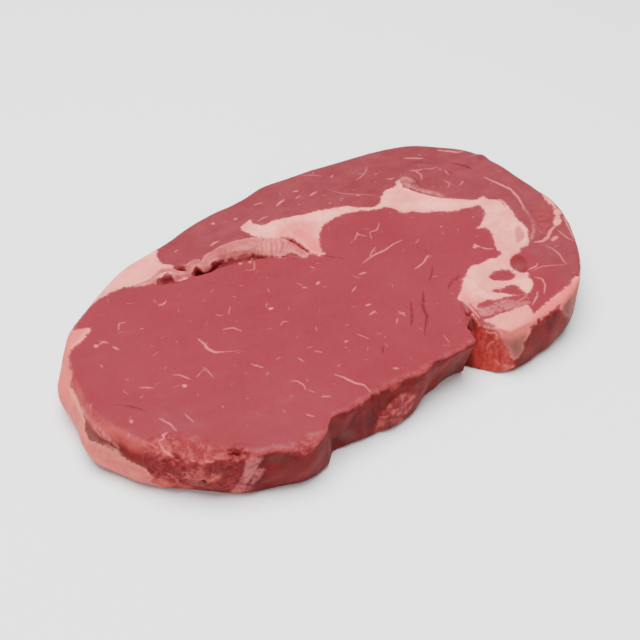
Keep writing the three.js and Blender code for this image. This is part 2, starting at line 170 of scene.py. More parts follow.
ROUGH_PATCHES = (
    (
        (255.2, 15.6), (257.2, 16.2), (261.4, 15.2), (263.5, 13.4), (266, 10.2), (264.5, 7.6), (262.4, 4.4), (259, 6.5),
        (256.4, 8), (254, 9), (251, 8.6), (250.4, 11), (252.8, 13),
    ),
    ((226.4, 20.6), (229, 19.6), (231.9, 19), (231.2, 17), (228, 16.6), (226.2, 18.4)),
    ((201.2, 10.4), (205.5, 13.2), (209.3, 17.6), (212.4, 12.4), (210.5, 9.6), (207.2, 5.6), (204, 7)),
)
SALMON_FILMS = (
    ((250.6, 7.2), (254.2, 7.4), (257.1, 5.8), (260.1, 2.3), (256, -2), (250.4, -2)),
    ((205.8, 10.6), (207.6, 12.4), (210.6, 12.6), (212.6, 12.8), (210.6, 8.4), (208, 6), (206, 7.4)),
    ((199.6, 9), (203, 7), (206, 3), (204, -2), (199, -2)),
)
# Brownish films on the walls, one of them a painted sheen and one painted shade over the block's fat: how much, then
# the outline.
TAN_SHADE_AND_SHEEN_FILMS = (
    # A greyish painted sheen low on the front wall.
    (0.6, (280, 2.6), (284, 6.5), (288, 12.8), (291.4, 13), (293.4, 6), (291, 1.6), (285, 0.6)),
    (0.5, (238.4, 11), (242.1, 7.2), (242.9, 3.6), (239.8, 3.4), (237, 7)),
    (0.4, (221.2, 18), (224, 18.3), (226.4, 16.4), (222.4, 15.2)),
    (0.6, (206.4, 9), (209.8, 11), (210.6, 9.2), (207.6, 5.4)),
    # Painted shade over the fat of the block's front.
    (1, (300.4, 17), (304.2, 17.4), (303.2, 13.4), (302.8, 9.4), (301.2, 8), (300.3, 11)),
    (1, (315.8, 19), (322, 20), (330, 18.6), (338, 18), (335, 12), (329, 8), (321, 9), (317, 12)),
    (
        0.8, (184.2, 16.8), (187, 16.2), (190, 15.6), (194, 14.6), (198.4, 13), (194, 13.4), (189, 13.9), (186, 13.8),
        (184.6, 14.8),
    ),
)
# Painted shade on the wall: in its recesses and cleft, under the flap, in the torn pocket and in the nicks of the rim.
WALL_SHADE = (
    ((292, 15), (295.6, 16), (298.6, 12), (298, 1), (292.6, 0)),
    ((212.9, 22), (215.4, 22), (217.2, 20.6), (216.7, 17), (215.2, 17.2), (214, 20)),
    ((229.4, 21.6), (232.3, 21.2), (231.8, 19.4), (228.6, 19.8)),
    ((222.6, 14.6), (232, 15.5), (233.6, 6), (230, 2), (221, 3)),
    ((236, 18.5), (240.6, 17), (240, 11), (237.4, 9), (236, 4)),
    ((251, 19), (262, 18.5), (268, 16.5), (266.5, 13.4), (262, 16), (255, 16.8), (251.5, 14)),
    ((270, 16), (279, 16.6), (283, 14), (277, 11), (270, 10)),
    ((248.9, 20), (250.2, 19), (250.4, 1), (249.1, 0)),
)

# The fold of fat, from its crumpled end to its pointed end: points of [x, y, half width].
FOLD_LINE = (
    (-58, 38.6, 0.7), (-52.1, 38, 1.1), (-48.3, 39.6, 1.5), (-45.1, 40.2, 1.6), (-42.9, 37.9, 1.7), (-41.9, 34.6, 1.7),
    (-39, 33.6, 1.7), (-36, 36.4, 1.9), (-32.8, 37.2, 1.6), (-31.6, 35, 1.5), (-31.2, 32.8, 1.4), (-28.8, 35.6, 2.1),
    (-25.5, 37, 2.5), (-21.5, 37.3, 3.1), (-17.5, 36.7, 3.6), (-13, 35.2, 4), (-8.5, 33, 4.4), (-4.2, 29.6, 4.8),
    (0, 26, 4.8), (2.6, 22.4, 3.2), (3.9, 17.4, 1.3),
)
# The open seam under the fold, as points of [x, y, half width].
OPEN_SEAM = (
    (-54, 37.6, 0.8), (-47, 35.6, 3), (-38, 34, 4.6), (-26, 31.8, 4.2), (-15, 28.8, 4), (-6, 24.2, 3), (0, 19, 1.8),
)
# Millimetres along the fold over which its wrinkles begin and end.
WRINKLES_BEGIN = (58, 66)
WRINKLES_END = (79, 74)
# Fat that is pinker than the rest: how much, then the outline.
PINK_FAT = (
    (0.9, (6.3, 32), (11.6, 32.6), (13.5, 27.4), (12.8, 20), (9.8, 13.6), (6.6, 17), (6.4, 25.2)),
    (0.65, (0, 33), (6, 36), (13.4, 36), (17, 30), (13, 24), (6, 26)),
    (0.35, (-86, 36), (-60, 39), (-44, 38), (-41, 42), (-44, 50), (-62, 58), (-90, 46)),
    (1.0, (-82, 30), (-92, 23), (-97, 19), (-98, 11), (-106, 8), (-103, 26), (-92, 34)),
    (0.5, (-8, 44), (-6, 47), (-1, 49), (-1.5, 45), (-3, 40)),
    (0.5, (50, 15), (62, 9), (68, 5), (60, 12), (54, 16.6)),
    (0.8, (35, -38), (40, -34), (39, -40), (43, -44), (36, -46)),
    (0.5, (66, -30), (74, -28), (80, -28), (76, -31), (68, -33)),
    (0.5, (34, -51), (44, -52), (52, -54), (52, -62), (44, -64), (35, -60)),
    (1, (49, -60), (60, -57), (76, -54), (80, -57), (64, -64), (50, -64)),
    (0.6, (99.8, -19.6), (104, -20), (99, -24), (95, -27)),
    (0.6, (103, -7), (108, -9), (106, -15), (103, -13)),
)
# Painted shade on the cut face: in and beside the open seam, in the slit and in a hollow of the tail.
POCKETS = (
    ((-50, 37), (-46.7, 36.6), (-44.6, 35.8), (-44.2, 33), (-41, 31), (-45, 31.6), (-49.5, 34.4)),
    ((-41.4, 40.4), (-38.6, 39.6), (-38, 37), (-39.4, 36.4), (-40.6, 38.4), (-44, 42), (-47, 42.6), (-44.4, 42.2)),
    ((-35.6, 34.6), (-33.4, 35.4), (-32.8, 32.4), (-31, 30), (-35, 30.2), (-38.4, 31.8)),
    ((-29.4, 33), (-26.4, 34.2), (-21.3, 34.2), (-17.3, 32.6), (-12.8, 31.2), (-10.2, 29.4), (-7.8, 27), (-5, 24.6),
     (-9.4, 24.4), (-13.6, 26.2), (-18, 29), (-24, 31), (-29, 31.2)),
    ((4, 30.4), (5.6, 27.6), (6.3, 23), (6.4, 19), (5.2, 17.6), (4.9, 22), (4.4, 26.2), (3.2, 29.4)),
    (
        (66.2, -31.2), (69.6, -31.2), (70.6, -33.4), (69.4, -36.4), (67.4, -39.4), (65.4, -39.6), (64.2, -36.6),
        (64, -33.6),
    ),
)

# Lines of fat in the lean and along the rim: half width, then points.
STREAKS = (
    (0.8, (-86.4, 19.8), (-85, 18.7)),
    (0.36, (-84.9, 19), (-82.7, 19.7), (-81.5, 17.8)),
    (0.42, (-81.1, 15.7), (-80.1, 12.7)),
    (0.3, (-75.5, 21.5), (-73.5, 24.5), (-71, 23.5)),
    (0.34, (-57, 25), (-55, 24.2), (-53, 25.5)),
    (0.3, (-68.5, 18), (-67.5, 17)),
    (0.26, (-52, 11), (-51.8, 9.8)),
    (0.3, (-70, 7.8), (-69.6, 7)),
    (0.24, (-33.4, 24), (-32.6, 24.2)),
    (0.3, (-20.4, 22), (-19, 21), (-17.2, 20.5), (-14.4, 25)),
    (0.24, (-16.4, 14.4), (-15.8, 13.4)),
    (0.52, (-55, 0.4), (-54.5, -4), (-55, -6), (-54, -9), (-51, -11)),
    (0.22, (-51.6, -10.4), (-49, -12), (-46.4, -13.2)),
    (0.34, (-45.4, -0.4), (-41.4, -2), (-39.8, -5.2)),
    (0.8, (-25.4, -0.6), (-23.4, -1.2)),
    (0.24, (-39, 5), (-36, 8.5)),
    (0.6, (-3.4, -0.2), (-1.2, 0.6)),
    (0.34, (-8.8, 1.6), (-6.8, 0.4)),
    (0.4, (-36, 47.8), (-34.2, 48.4)),
    (0.5, (-22.6, 43.4), (-20.4, 44.2), (-18, 44)),
    (0.8, (-14.2, 55.6), (-13.6, 54.4)),
    (0.55, (-6, 52.2), (-4.2, 52)),
    (0.4, (5.4, 55.2), (9.4, 54)),
    (0.45, (12, 48.8), (17.4, 50.4)),
    (0.4, (22.6, 52.4), (25.2, 51.3)),
    (0.35, (21, 48), (24.2, 48.4)),
    (0.45, (26.8, 46.2), (31, 47.2)),
    (0.4, (41.4, 51.6), (43.4, 52.6)),
    (0.3, (32.4, 59.4), (36, 57.2), (39, 54.4)),
    (0.3, (57.4, 42.4), (58.8, 42.8)),
    (0.4, (70.6, 36.2), (73.4, 34.6), (76.4, 34)),
    (0.3, (76.4, 34), (79.2, 32.2), (82, 31.6)),
    (0.35, (72.4, 36), (73.2, 31.4), (71, 28.4)),
    (0.3, (0.2, 45.4), (6, 45.6)),
    (0.24, (35.8, 45.2), (39, 40), (43, 36), (49, 31)),
    (0.4, (42.2, 35.6), (43.8, 34.6)),
    (0.3, (19.4, 44.2), (20.8, 43.8)),
    (0.3, (30.4, 38.4), (31.8, 37.8)),
    (0.3, (36, 37.8), (37.2, 37.2)),
    (0.3, (81.8, 24), (83, 28)),
    (0.3, (76, 18), (78.6, 19.2), (78.2, 23)),
    (0.3, (81, 16), (84.2, 17.6)),
    (0.32, (23.8, 12), (27, 14.6), (29.2, 11.4)),
    (0.3, (29.8, 9), (32, 13), (35.2, 12.4), (39.2, 16)),
    (0.35, (46, 18.2), (47, 18.8)),
    (0.3, (1.4, 11), (2.2, 8)),
    (0.26, (4.6, 10.8), (5.6, 10.2)),
    (0.4, (18, -0.6), (24, 0.6), (30, 0.8), (35, 2), (39.4, 2)),
    (0.3, (22, 0.4), (25, 2.6), (28.4, 4.4)),
    (0.4, (57, 0.2), (58.2, -0.4)),
    (0.35, (71.6, -2.2), (72.6, -2.8)),
    (0.75, (58.8, -18.2), (60.4, -17.3), (61.6, -18.6)),
    (0.4, (61.4, -18.6), (62.6, -20.8), (65.2, -22.6)),
    (0.55, (92.8, 14.5), (94.9, 8.7), (96.7, 2.6), (96, -2.5), (94.1, -7), (92.3, -10.8)),
    (0.7, (95, -25.9), (90.3, -27.5), (86.9, -29.8), (83.2, -30.4), (80.2, -29)),
    (0.85, (86.4, -32.4), (88.7, -31.8), (90.4, -31.6)),
    (0.5, (101.8, -22.8), (99.2, -27.6), (96.6, -32.8), (94.4, -36.4)),
    (0.34, (93.1, -28.6), (92.6, -34.8), (93.7, -37.6)),
    (0.34, (82.2, -33.4), (83.1, -36), (82.7, -40.9), (81.3, -44.2), (81.3, -46.4)),
    (0.28, (67, -41.4), (72.4, -41.8), (76, -43.5), (80.6, -46)),
    (0.4, (66.8, -40), (71.1, -40.5), (72.2, -39.2)),
    (0.4, (65.8, -44.3), (67.6, -46.9), (66.2, -50.1), (62.4, -53.6)),
    (0.4, (54.1, -55.8), (58.9, -53.4), (61.5, -51.1)),
    (0.3, (50.8, -50.6), (54, -51), (57.2, -50.3)),
    (0.55, (90.2, 41.6), (93.6, 37.6), (95.6, 34.6), (98, 33.6)),
    (0.5, (34.9, -36.4), (35.9, -39.1), (35.7, -43.2), (34.7, -47.2), (34.3, -49.7)),
    (0.5, (74.2, 44.6), (77, 42.8), (81.4, 40)),
    (0.3, (52.1, 47.2), (54, 45.5), (51, 44.3), (48.9, 44.1)),
    (0.26, (58.2, 49.4), (56.6, 47.1), (54.6, 46)),
    (0.4, (59.5, 37.7), (60.8, 36.2), (63, 36.2)),
    (0.4, (12.8, -5), (16.2, -5.6)),
    (0.34, (4.8, -11.2), (8.2, -9.8)),
    (0.45, (4.6, -19.8), (7.2, -20.2)),
    (0.45, (2.8, -24.6), (6.2, -24)),
    (0.42, (31.8, -15), (37, -14), (42.2, -11)),
    (0.36, (11.8, -30), (13, -31), (14.4, -31.4)),
    (0.3, (12.8, -29), (13.2, -33.2)),
    (0.34, (7.8, -34.2), (10.2, -31.8)),
    (0.5, (-0.4, -37.6), (0.6, -37.4)),
    (0.22, (17, -53), (18.2, -48)),
    (0.32, (-84.2, -8.4), (-82.4, -10), (-80.4, -12.2)),
    (0.28, (-86.4, -13), (-85.2, -13.2)),
    (0.34, (-72.2, -10.4), (-70, -12), (-68, -16)),
    (0.9, (-72.2, -17.2), (-70.6, -17.8)),
    (0.26, (-61.4, -13), (-61, -16.4), (-61, -20)),
    (0.26, (-66, -16.2), (-63, -14.8)),
    (0.9, (-94.8, -20.4), (-93.6, -20.9)),
    (0.34, (-98.4, -25.4), (-97.2, -24.8)),
    (0.34, (-86, -25.4), (-84.4, -29), (-84, -33)),
    (0.3, (-78, -28), (-77.4, -33)),
    (0.35, (-66.4, -33.2), (-65.4, -32.8)),
    (0.34, (-47, -21.4), (-45.4, -24.4), (-44.4, -26.2)),
    (0.26, (-51.4, -24.4), (-50.4, -24.8)),
    (0.32, (-32.2, -29), (-31.4, -32)),
    (0.32, (-25.2, -29), (-23, -31.2)),
    (0.6, (-13.2, -31), (-11.8, -31.2)),
    (0.26, (-27.2, -11), (-25, -9.4), (-23.4, -11.2)),
    (0.26, (-7.2, -30), (-5, -35)),
    (0.32, (-41.2, -37), (-39, -38), (-38, -41), (-39, -43.2)),
    (0.34, (-36.2, -48.4), (-33.4, -50.2)),
    (0.36, (-45.2, -52), (-43.4, -54.6)),
    (0.42, (-26.2, -42.4), (-24.4, -46), (-23.4, -50), (-21.4, -53), (-21.4, -57)),
    (0.4, (-8.2, -52), (-6.4, -53.6)),
    (0.24, (-15.2, -36.2), (-14.4, -35.8)),
    (0.24, (-13.4, -43), (-12.4, -43.2)),
    (0.3, (-64.4, -45.2), (-63.4, -44.8)),
    (0.45, (-86.5, -31.6), (-88.6, -31.9), (-89.2, -33.5), (-91.6, -33.3)),
    (0.42, (-91.4, -33.4), (-91.6, -36.9), (-90.7, -40.4), (-89.5, -42.3), (-88.1, -43.8)),
    (0.36, (-88.5, -43.3), (-85.6, -46.7), (-80.6, -50.7)),
)
# Lines of fat that join or lengthen the outlines: half width, then points.
FAT_STRIPS = (
    (1.0, (-92, 34), (-86, 37), (-80, 41)),
    (0.9, (1.6, 22.6), (3.6, 18)),
    (0.35, (103.8, -14.4), (102.6, -18.6)),
    (0.6, (6.4, 17.2), (7.8, 16.2), (8.2, 14.4), (10, 13.6)),
)
# Fine creases of the cut face, darkened with painted shade: half width, then points.
SHADED_CREASES = (
    (0.34, (85.4, 3.4), (87.4, 1.2), (88.2, -2), (86.6, -6.3)),
    (0.6, (87.2, 31), (90, 27.6), (91.9, 24.6), (92.6, 20.8)),
    (0.42, (61.6, 28.4), (63.5, 26.7), (64.3, 22.8), (66, 20), (67.5, 17.8), (69.4, 15.4)),
    (0.4, (39.6, -29.2), (42, -27.8), (44.4, -26.6)),
    (0.36, (19.7, -27.2), (18.6, -29.6), (14.6, -34.8), (10.4, -39.3)),
    (0.42, (27.8, -25.1), (24.4, -29.4), (21.4, -33), (19.7, -37.4), (15.4, -41.6), (12, -45.8)),
    (0.25, (39.3, -17.1), (35, -21.4), (31.4, -23.8)),
    (0.25, (-3.2, -40.5), (-6.7, -44.6)),
    (0.4, (41.8, -26.8), (37.6, -29), (34.9, -31)),
    (0.26, (-95.2, -9.6), (-91.4, -13.7), (-89.3, -16.9), (-87.7, -20.2)),
    (0.34, (9.4, 13.4), (11.6, 9.4), (14.4, 5.6)),
    (0.2, (40, -2), (42.6, -8.4), (41.4, -13)),
    (0.3, (74, 42.5), (80, 37.4), (84.6, 32)),
    (0.5, (-90.6, -38.6), (-89, -41.4), (-87.2, -44.6)),
    (0.5, (-75, -49), (-73, -51.6), (-72.4, -54)),
)
# How far the upper face's lines are moved when they are turned over for the underside.
UNDERSIDE_SHIFT = (5, 3)
# The seam between the eye and cap muscles, and how far right the cap alone begins.
CAP_SEAM = ((-90, 36), (-50, 38), (-20, 36), (5, 28), (25, 32), (45, 25), (52, 22), (70, 6), (78, 2))
CAP_FROM = 74
# The pinkish roll of the rim: its middle and half spread in degrees.
RIM_ROLL = (186, 17)
# Torn places seen from above: middle, half sizes and the direction of the long side.
TORN_CORNER = ((-88, -43), (15, 8), (0.69, -0.72))
SMALL_TEAR = ((-74.5, -52.5), (5, 3.4), (1, 0))
FRAYED_TAIL = ((93, -20.5), (9, 3.6), (0.63, 0.78))
# The notch between the eye muscle and the fat block: middle and reach.
NOTCH = ((35, -52), 9)
# A bump on the rim of the cap: middle, half sizes and height.
LUMP = ((99.2, 26.2), (4.5, 2.2), 1.4)
# The faint flecks: corners of their area, the gap between two, and the limits of half length and half width.
FLECK_AREA = ((-103, -58), (103, 60))
FLECK_GAP = 6.4
FLECK_HALF = (0.4, 1.7)
FLECK_WIDTH = (0.1, 0.26)
# Thin light strand lines: reach, then points of [x, y, z]. Three lie on the side of the fat block, two under the fold
# and one, a painted highlight, along the top of the left wall's fat.
STRANDS_AND_HIGHLIGHT = (
    (0.7, (33.4, -54.6, 18.6), (34.1, -55.7, 18.4), (35.1, -57.1, 18.9), (35.6, -58, 17.8), (35.4, -58, 16.4)),
    (0.5, (34.9, -57.2, 14.6), (34.2, -56.2, 13.6), (33.7, -55.6, 11.4), (34, -56, 8)),
    (0.7, (35.2, -59.3, 6.2), (35.9, -60.4, 4.7), (36.7, -61.8, 4.3), (37.3, -62.5, 5.5), (37.7, -62, 2.3)),
    (0.8, (-19.9, 26.4, 22.1), (-14.9, 31.8, 18.0), (-13.6, 31.2, 19.3), (-12.7, 30.6, 19.8)),
    (0.7, (-16.3, 25.0, 22.0), (-11.9, 30.4, 18.1), (-10.9, 29.3, 19.7), (-9.7, 28.5, 20.0)),
    (
        0.7, (-106.4, -9.8, 13.9), (-105.2, -13, 14.2), (-103.8, -17.3, 14.7), (-102.4, -21.7, 14.4),
        (-101.4, -25.5, 14.3),
    ),
)


def smooth(low, high, value):
    """0 below low, 1 above high and a soft slope between, also where low is the larger."""
    t = np.clip((value - low) / (high - low), 0.0, 1.0)
    return t * t * (3.0 - 2.0 * t)


def rounded(points, steps=4, closed=True):
    """A smooth line through the points."""
    p = np.array(points, float)
    count = len(p)
    if closed:
        before, after, later = np.roll(p, 1, 0), np.roll(p, -1, 0), np.roll(p, -2, 0)
    else:
        ends = np.vstack([2 * p[0] - p[1], p, 2 * p[-1] - p[-2]])
        before, after, later = ends[:-3], p[1:], ends[3:]
        p, count = p[:-1], count - 1
    line = []
    for i in range(count):
        for t in np.arange(steps) / steps:
            line.append(
                0.5
                * (
                    2 * p[i]
                    + (after[i] - before[i]) * t
                    + (2 * before[i] - 5 * p[i] + 4 * after[i] - later[i]) * t**2
                    + (3 * p[i] - before[i] - 3 * after[i] + later[i]) * t**3
                )
            )
    if not closed:
        line.append(np.array(points[-1], float))
    return np.array(line)


def signed_distance(xy, outline):
    """How far each point is inside a closed outline, negative outside it."""
    line = rounded(outline)
    result = np.full(len(xy), -REACH)
    near = np.all((xy > line.min(0) - REACH) & (xy < line.max(0) + REACH), axis=1)
    p = xy[near]
    distance = np.full(len(p), REACH)
    inside = np.zeros(len(p), bool)
    for a, b in zip(line, np.roll(line, -1, 0)):
        ab = b - a
        t = np.clip(((p - a) @ ab) / max(ab @ ab, 1e-9), 0, 1)
        distance = np.minimum(distance, np.hypot(*(p - a - t[:, None] * ab).T))
        crosses = (a[1] > p[:, 1]) != (b[1] > p[:, 1])
        if a[1] != b[1]:
            inside ^= crosses & (p[:, 0] < (b[0] - a[0]) * (p[:, 1] - a[1]) / (b[1] - a[1]) + a[0])
    result[near] = np.where(inside, distance, -distance)
    return result


def in_outlines(xy, outlines):
    """How far each point is inside the nearest of some outlines, negative outside them all."""
    return np.max([signed_distance(xy, outline) for outline in outlines], axis=0)


def along_line(xy, points):
    """Distance to a line of [x, y, half width], the half width there, and the way along it."""
    line = rounded(points, closed=False)
    distance = np.full(len(xy), REACH)
    width = np.zeros(len(xy))
    way = np.zeros(len(xy))
    walked = 0.0
    for a, b in zip(line, line[1:]):
        ab = (b - a)[:2]
        length = math.hypot(*ab)
        t = np.clip(((xy - a[:2]) @ ab) / length**2, 0, 1)
        d = np.hypot(*(xy - a[:2] - t[:, None] * ab).T)
        closer = d < distance
        distance[closer] = d[closer]
        width[closer] = (a[2] + (b[2] - a[2]) * t)[closer]
        way[closer] = (walked + t * length)[closer]
        walked += length
    return distance, width, way


def in_lines(xy, lines):
    """How far each point is inside the nearest of some lines of (half width, points)."""
    inside = np.full(len(xy), -REACH)
    for half_width, *points in lines:
        distance, _, _ = along_line(xy, [(*point, 0.0) for point in points])
        inside = np.maximum(inside, half_width - distance)
    return inside


def stroke_fields(xy, strokes, reach=3.0, clear=1.7, steep=4.0):
    """For a set of thin lines that keep apart: the offset to one side of the nearest, the distance past its end
    (negative along it) and its half width. Offsets change evenly across a line, so a coarse mesh draws it finely."""
    offset = np.full(len(xy), 9.0)
    past = np.full(len(xy), 9.0)
    width = np.full(len(xy), 0.3)
    best = np.full(len(xy), reach)
    for half_width, *points in strokes:
        p = np.array(points, float)
        near = np.flatnonzero(np.all((xy > p.min(0) - reach) & (xy < p.max(0) + reach), axis=1))
        if not len(near):
            continue
        q = xy[near]
        lengths = np.hypot(*(p[1:] - p[:-1]).T)
        total = lengths.sum()
        walked = 0.0
        for i, length in enumerate(lengths):
            along = (p[i + 1] - p[i]) / length
            t = (q - p[i]) @ along
            side = along[0] * (q - p[i])[:, 1] - along[1] * (q - p[i])[:, 0]
            beyond = np.maximum(np.maximum(-t, t - length), 0)
            d = np.hypot(side, beyond)
            closer = d < best[near]
            at = near[closer]
            s = walked + np.clip(t, -reach if i == 0 else 0, length + (reach if i == len(lengths) - 1 else 0))
            best[at] = d[closer]
            offset[at] = side[closer]
            past[at] = np.maximum(np.maximum(-s, s - total), (d - clear) * steep)[closer]
            width[at] = half_width * (1 - 0.45 * np.abs(2 * np.clip(s / total, 0, 1) - 1)[closer] ** 2)
            walked += length
    return np.stack([offset, past, width], axis=1)


def apart(strokes, gap=5.0, layers=3):
    """Deals the lines out into layers, so that lines of one layer keep a gap between them."""
    dealt = [[] for _ in range(layers)]
    for stroke in strokes:
        points = rounded(stroke[1:], closed=False)
        room = []
        for layer in dealt:
            others = [rounded(other[1:], closed=False) for other in layer]
            gaps = [np.hypot(*(points[:, None] - other[None]).reshape(-1, 2).T).min() for other in others]
            room.append(min(gaps, default=99.0))
        first = next((i for i, r in enumerate(room) if r > gap), int(np.argmax(room)))
        dealt[first].append(stroke)
    return dealt


def rough(points, size, seed):
    """Smooth noise between -1 and 1 at each point, with features of the given size in millimetres."""
    shift = Vector((seed * 7.3, seed * 3.1, seed * 5.7))
    return np.array([noise.noise(Vector(p / size) + shift) for p in points])


def inside_ellipse(p, middle, sizes, along, fade=1.3):
    """1 well inside an ellipse seen from above, falling to 0 at `fade` times its size."""
    x, y = p[:, 0] - middle[0], p[:, 1] - middle[1]
    c, s = along
    return smooth(fade, 0.6, np.hypot((c * x + s * y) / sizes[0], (c * y - s * x) / sizes[1]))


class Fields:
    """What each vertex of the meat is: fat or lean, cut face or wall, and how deep in the seams it lies."""

    def __init__(self, coordinates, normals):
        self.p = coordinates / MM - np.array([*DRAWING_ZERO, 0.0])
        self.n = normals
        xy = self.p[:, :2]
        self.angle = np.degrees(np.arctan2(xy[:, 1] - POLE[1], xy[:, 0] - POLE[0])) % 360
        self.radius = np.hypot(xy[:, 0] - POLE[0], xy[:, 1] - POLE[1])
        self.rim = self.rim_radius()
        self.depth = self.depth_below_face()
        in_notch = (xy[:, 0] > 20) & (xy[:, 0] < 46) & (xy[:, 1] < -45)
        near_rim = smooth(7.0, 4.0, self.rim - self.radius)
        steep = smooth(0.72, 0.42, normals[:, 2])
        self.wall = steep * np.where(in_notch, 1.0, near_rim) * smooth(0.4, 1.2, self.p[:, 2])
        self.wall = np.maximum(self.wall, smooth(3.5, 5.0, self.depth) * near_rim)
        self.under = smooth(-0.45, -0.8, normals[:, 2])

        distance, width, self.fold_way = along_line(xy, FOLD_LINE)
        self.fold = width - distance
        distance, width, _ = along_line(xy, OPEN_SEAM)
        self.seam = width - distance

        fat = in_outlines(xy, FAT_OUTLINES)
        for outline in LEAN_ISLANDS:
            fat = np.minimum(fat, -signed_distance(xy, outline))
        fat = np.maximum(fat, in_lines(xy, FAT_STRIPS))
        # The fat of the cut face ends a little way down the wall, and the fold's a little way down the seam.
        fat = np.where(self.wall > 0.5, np.minimum(fat, 2.6 - self.depth), fat)
        fat = np.maximum(fat, np.minimum(self.fold, 3.4 - self.depth))
        self.unrolled = np.stack([self.way_round(self.angle), self.p[:, 2]], axis=1)
        fat = np.maximum(fat, self.wall_patch(WALL_FAT))
        # The fat on the block's corner lies right of a slanting edge, and ends above the table.
        x, y, z = self.p.T
        block_edge = 35.7 + 0.27 * (19.8 - z)
        self.block_corner = np.where((y < -54) & (x < 41), np.minimum(x - block_edge, z - 8.4), -REACH)
        self.fat = np.clip(np.maximum(fat, self.block_corner), -REACH, REACH)

    def rim_radius(self):
        """The steak's reach in the direction of each vertex."""
        bins = (self.angle * BINS / 360).astype(int) % BINS
        reach = np.zeros(BINS)
        level = (self.p[:, 2] > 15) & (self.p[:, 2] < 20)
        np.maximum.at(reach, bins[level], self.radius[level])
        for i in np.flatnonzero(reach == 0):
            reach[i] = reach[i - 1]
        self.reach = np.stack([np.roll(reach, k) for k in range(-2, 3)]).mean(0)
        return self.reach[bins]

    def depth_below_face(self, cell=5.0):
        """How far each vertex is below the highest meat near it."""
        ij = np.floor((self.p[:, :2] + FRAME_HALF) / cell).astype(int)
        cells = math.ceil(2 * FRAME_HALF / cell)
        top = np.full((cells, cells), FACE_HEIGHT)
        high = self.p[:, 2] > FACE_HEIGHT - 1.5
        np.maximum.at(top, (ij[high, 0], ij[high, 1]), self.p[high, 2])
        return np.clip(top[ij[:, 0], ij[:, 1]] - 0.3 - self.p[:, 2], 0, None)

    def near(self, at, spread):
        """1 in a direction seen from the pole, falling away on both sides."""
        away = (self.angle - at + 180) % 360 - 180
        return np.exp(-((away / spread) ** 2))

    def way_round(self, angle):
        """Millimetres along the rim from the +X side to an angle in degrees."""
        ways = np.concatenate([[0.0], np.cumsum(math.tau / BINS * self.reach)])
        return np.interp(angle, np.linspace(0, 360, BINS + 1), ways)

    def wall_patch(self, outlines):
        """How far each vertex is inside the nearest of some outlines on the wall."""
        result = np.full(len(self.p), -REACH)
        on_wall = (self.wall > 0.05) & (self.under < 0.5)
        for outline in outlines:
            flat = [(self.way_round(angle), height) for angle, height in outline]
            result[on_wall] = np.maximum(result[on_wall], signed_distance(self.unrolled[on_wall], flat))
        return result


def merged_copy(node):
    """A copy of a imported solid's mesh with its doubles merged."""
    bm = bmesh.new()
    bm.from_mesh(node.data)
    bmesh.ops.remove_doubles(bm, verts=bm.verts, dist=1e-6)
    mesh = bpy.data.meshes.new("raw_steak")
    bm.to_mesh(mesh)
    bm.free()
    piece = bpy.data.objects.new("raw_steak", mesh)
    bpy.context.scene.collection.objects.link(piece)
    return piece


def remeshed(piece, voxel):
    """Gives the piece an even skin of small quads."""
    modifier = piece.modifiers.new("even skin", "REMESH")
    modifier.mode = "VOXEL"
    modifier.voxel_size = voxel
    depsgraph = bpy.context.evaluated_depsgraph_get()
    mesh = bpy.data.meshes.new_from_object(piece.evaluated_get(depsgraph))
    piece.modifiers.clear()
    piece.data = mesh


def read(bm):
    """Coordinates and normals of a bmesh."""
    bm.normal_update()
    coordinates = np.array([v.co[:] for v in bm.verts])
    normals = np.array([v.normal[:] for v in bm.verts])
    return coordinates, normals


def refined(bm, chosen):
    """Splits the faces whose vertices are chosen, for finer relief."""
    bm.verts.ensure_lookup_table()
    edges = [e for e in bm.edges if chosen[e.verts[0].index] and chosen[e.verts[1].index]]
    bmesh.ops.subdivide_edges(bm, edges=edges, cuts=1, use_grid_fill=True)


def move(bm, coordinates):
    """Puts each vertex at its new coordinates."""
    for v, co in zip(bm.verts, coordinates):
        v.co = co


def torn_corner(p):
    """1 in the torn corner and in a small tear beside it, falling to 0 round them."""
    return np.maximum(inside_ellipse(p, *TORN_CORNER), inside_ellipse(p, *SMALL_TEAR))


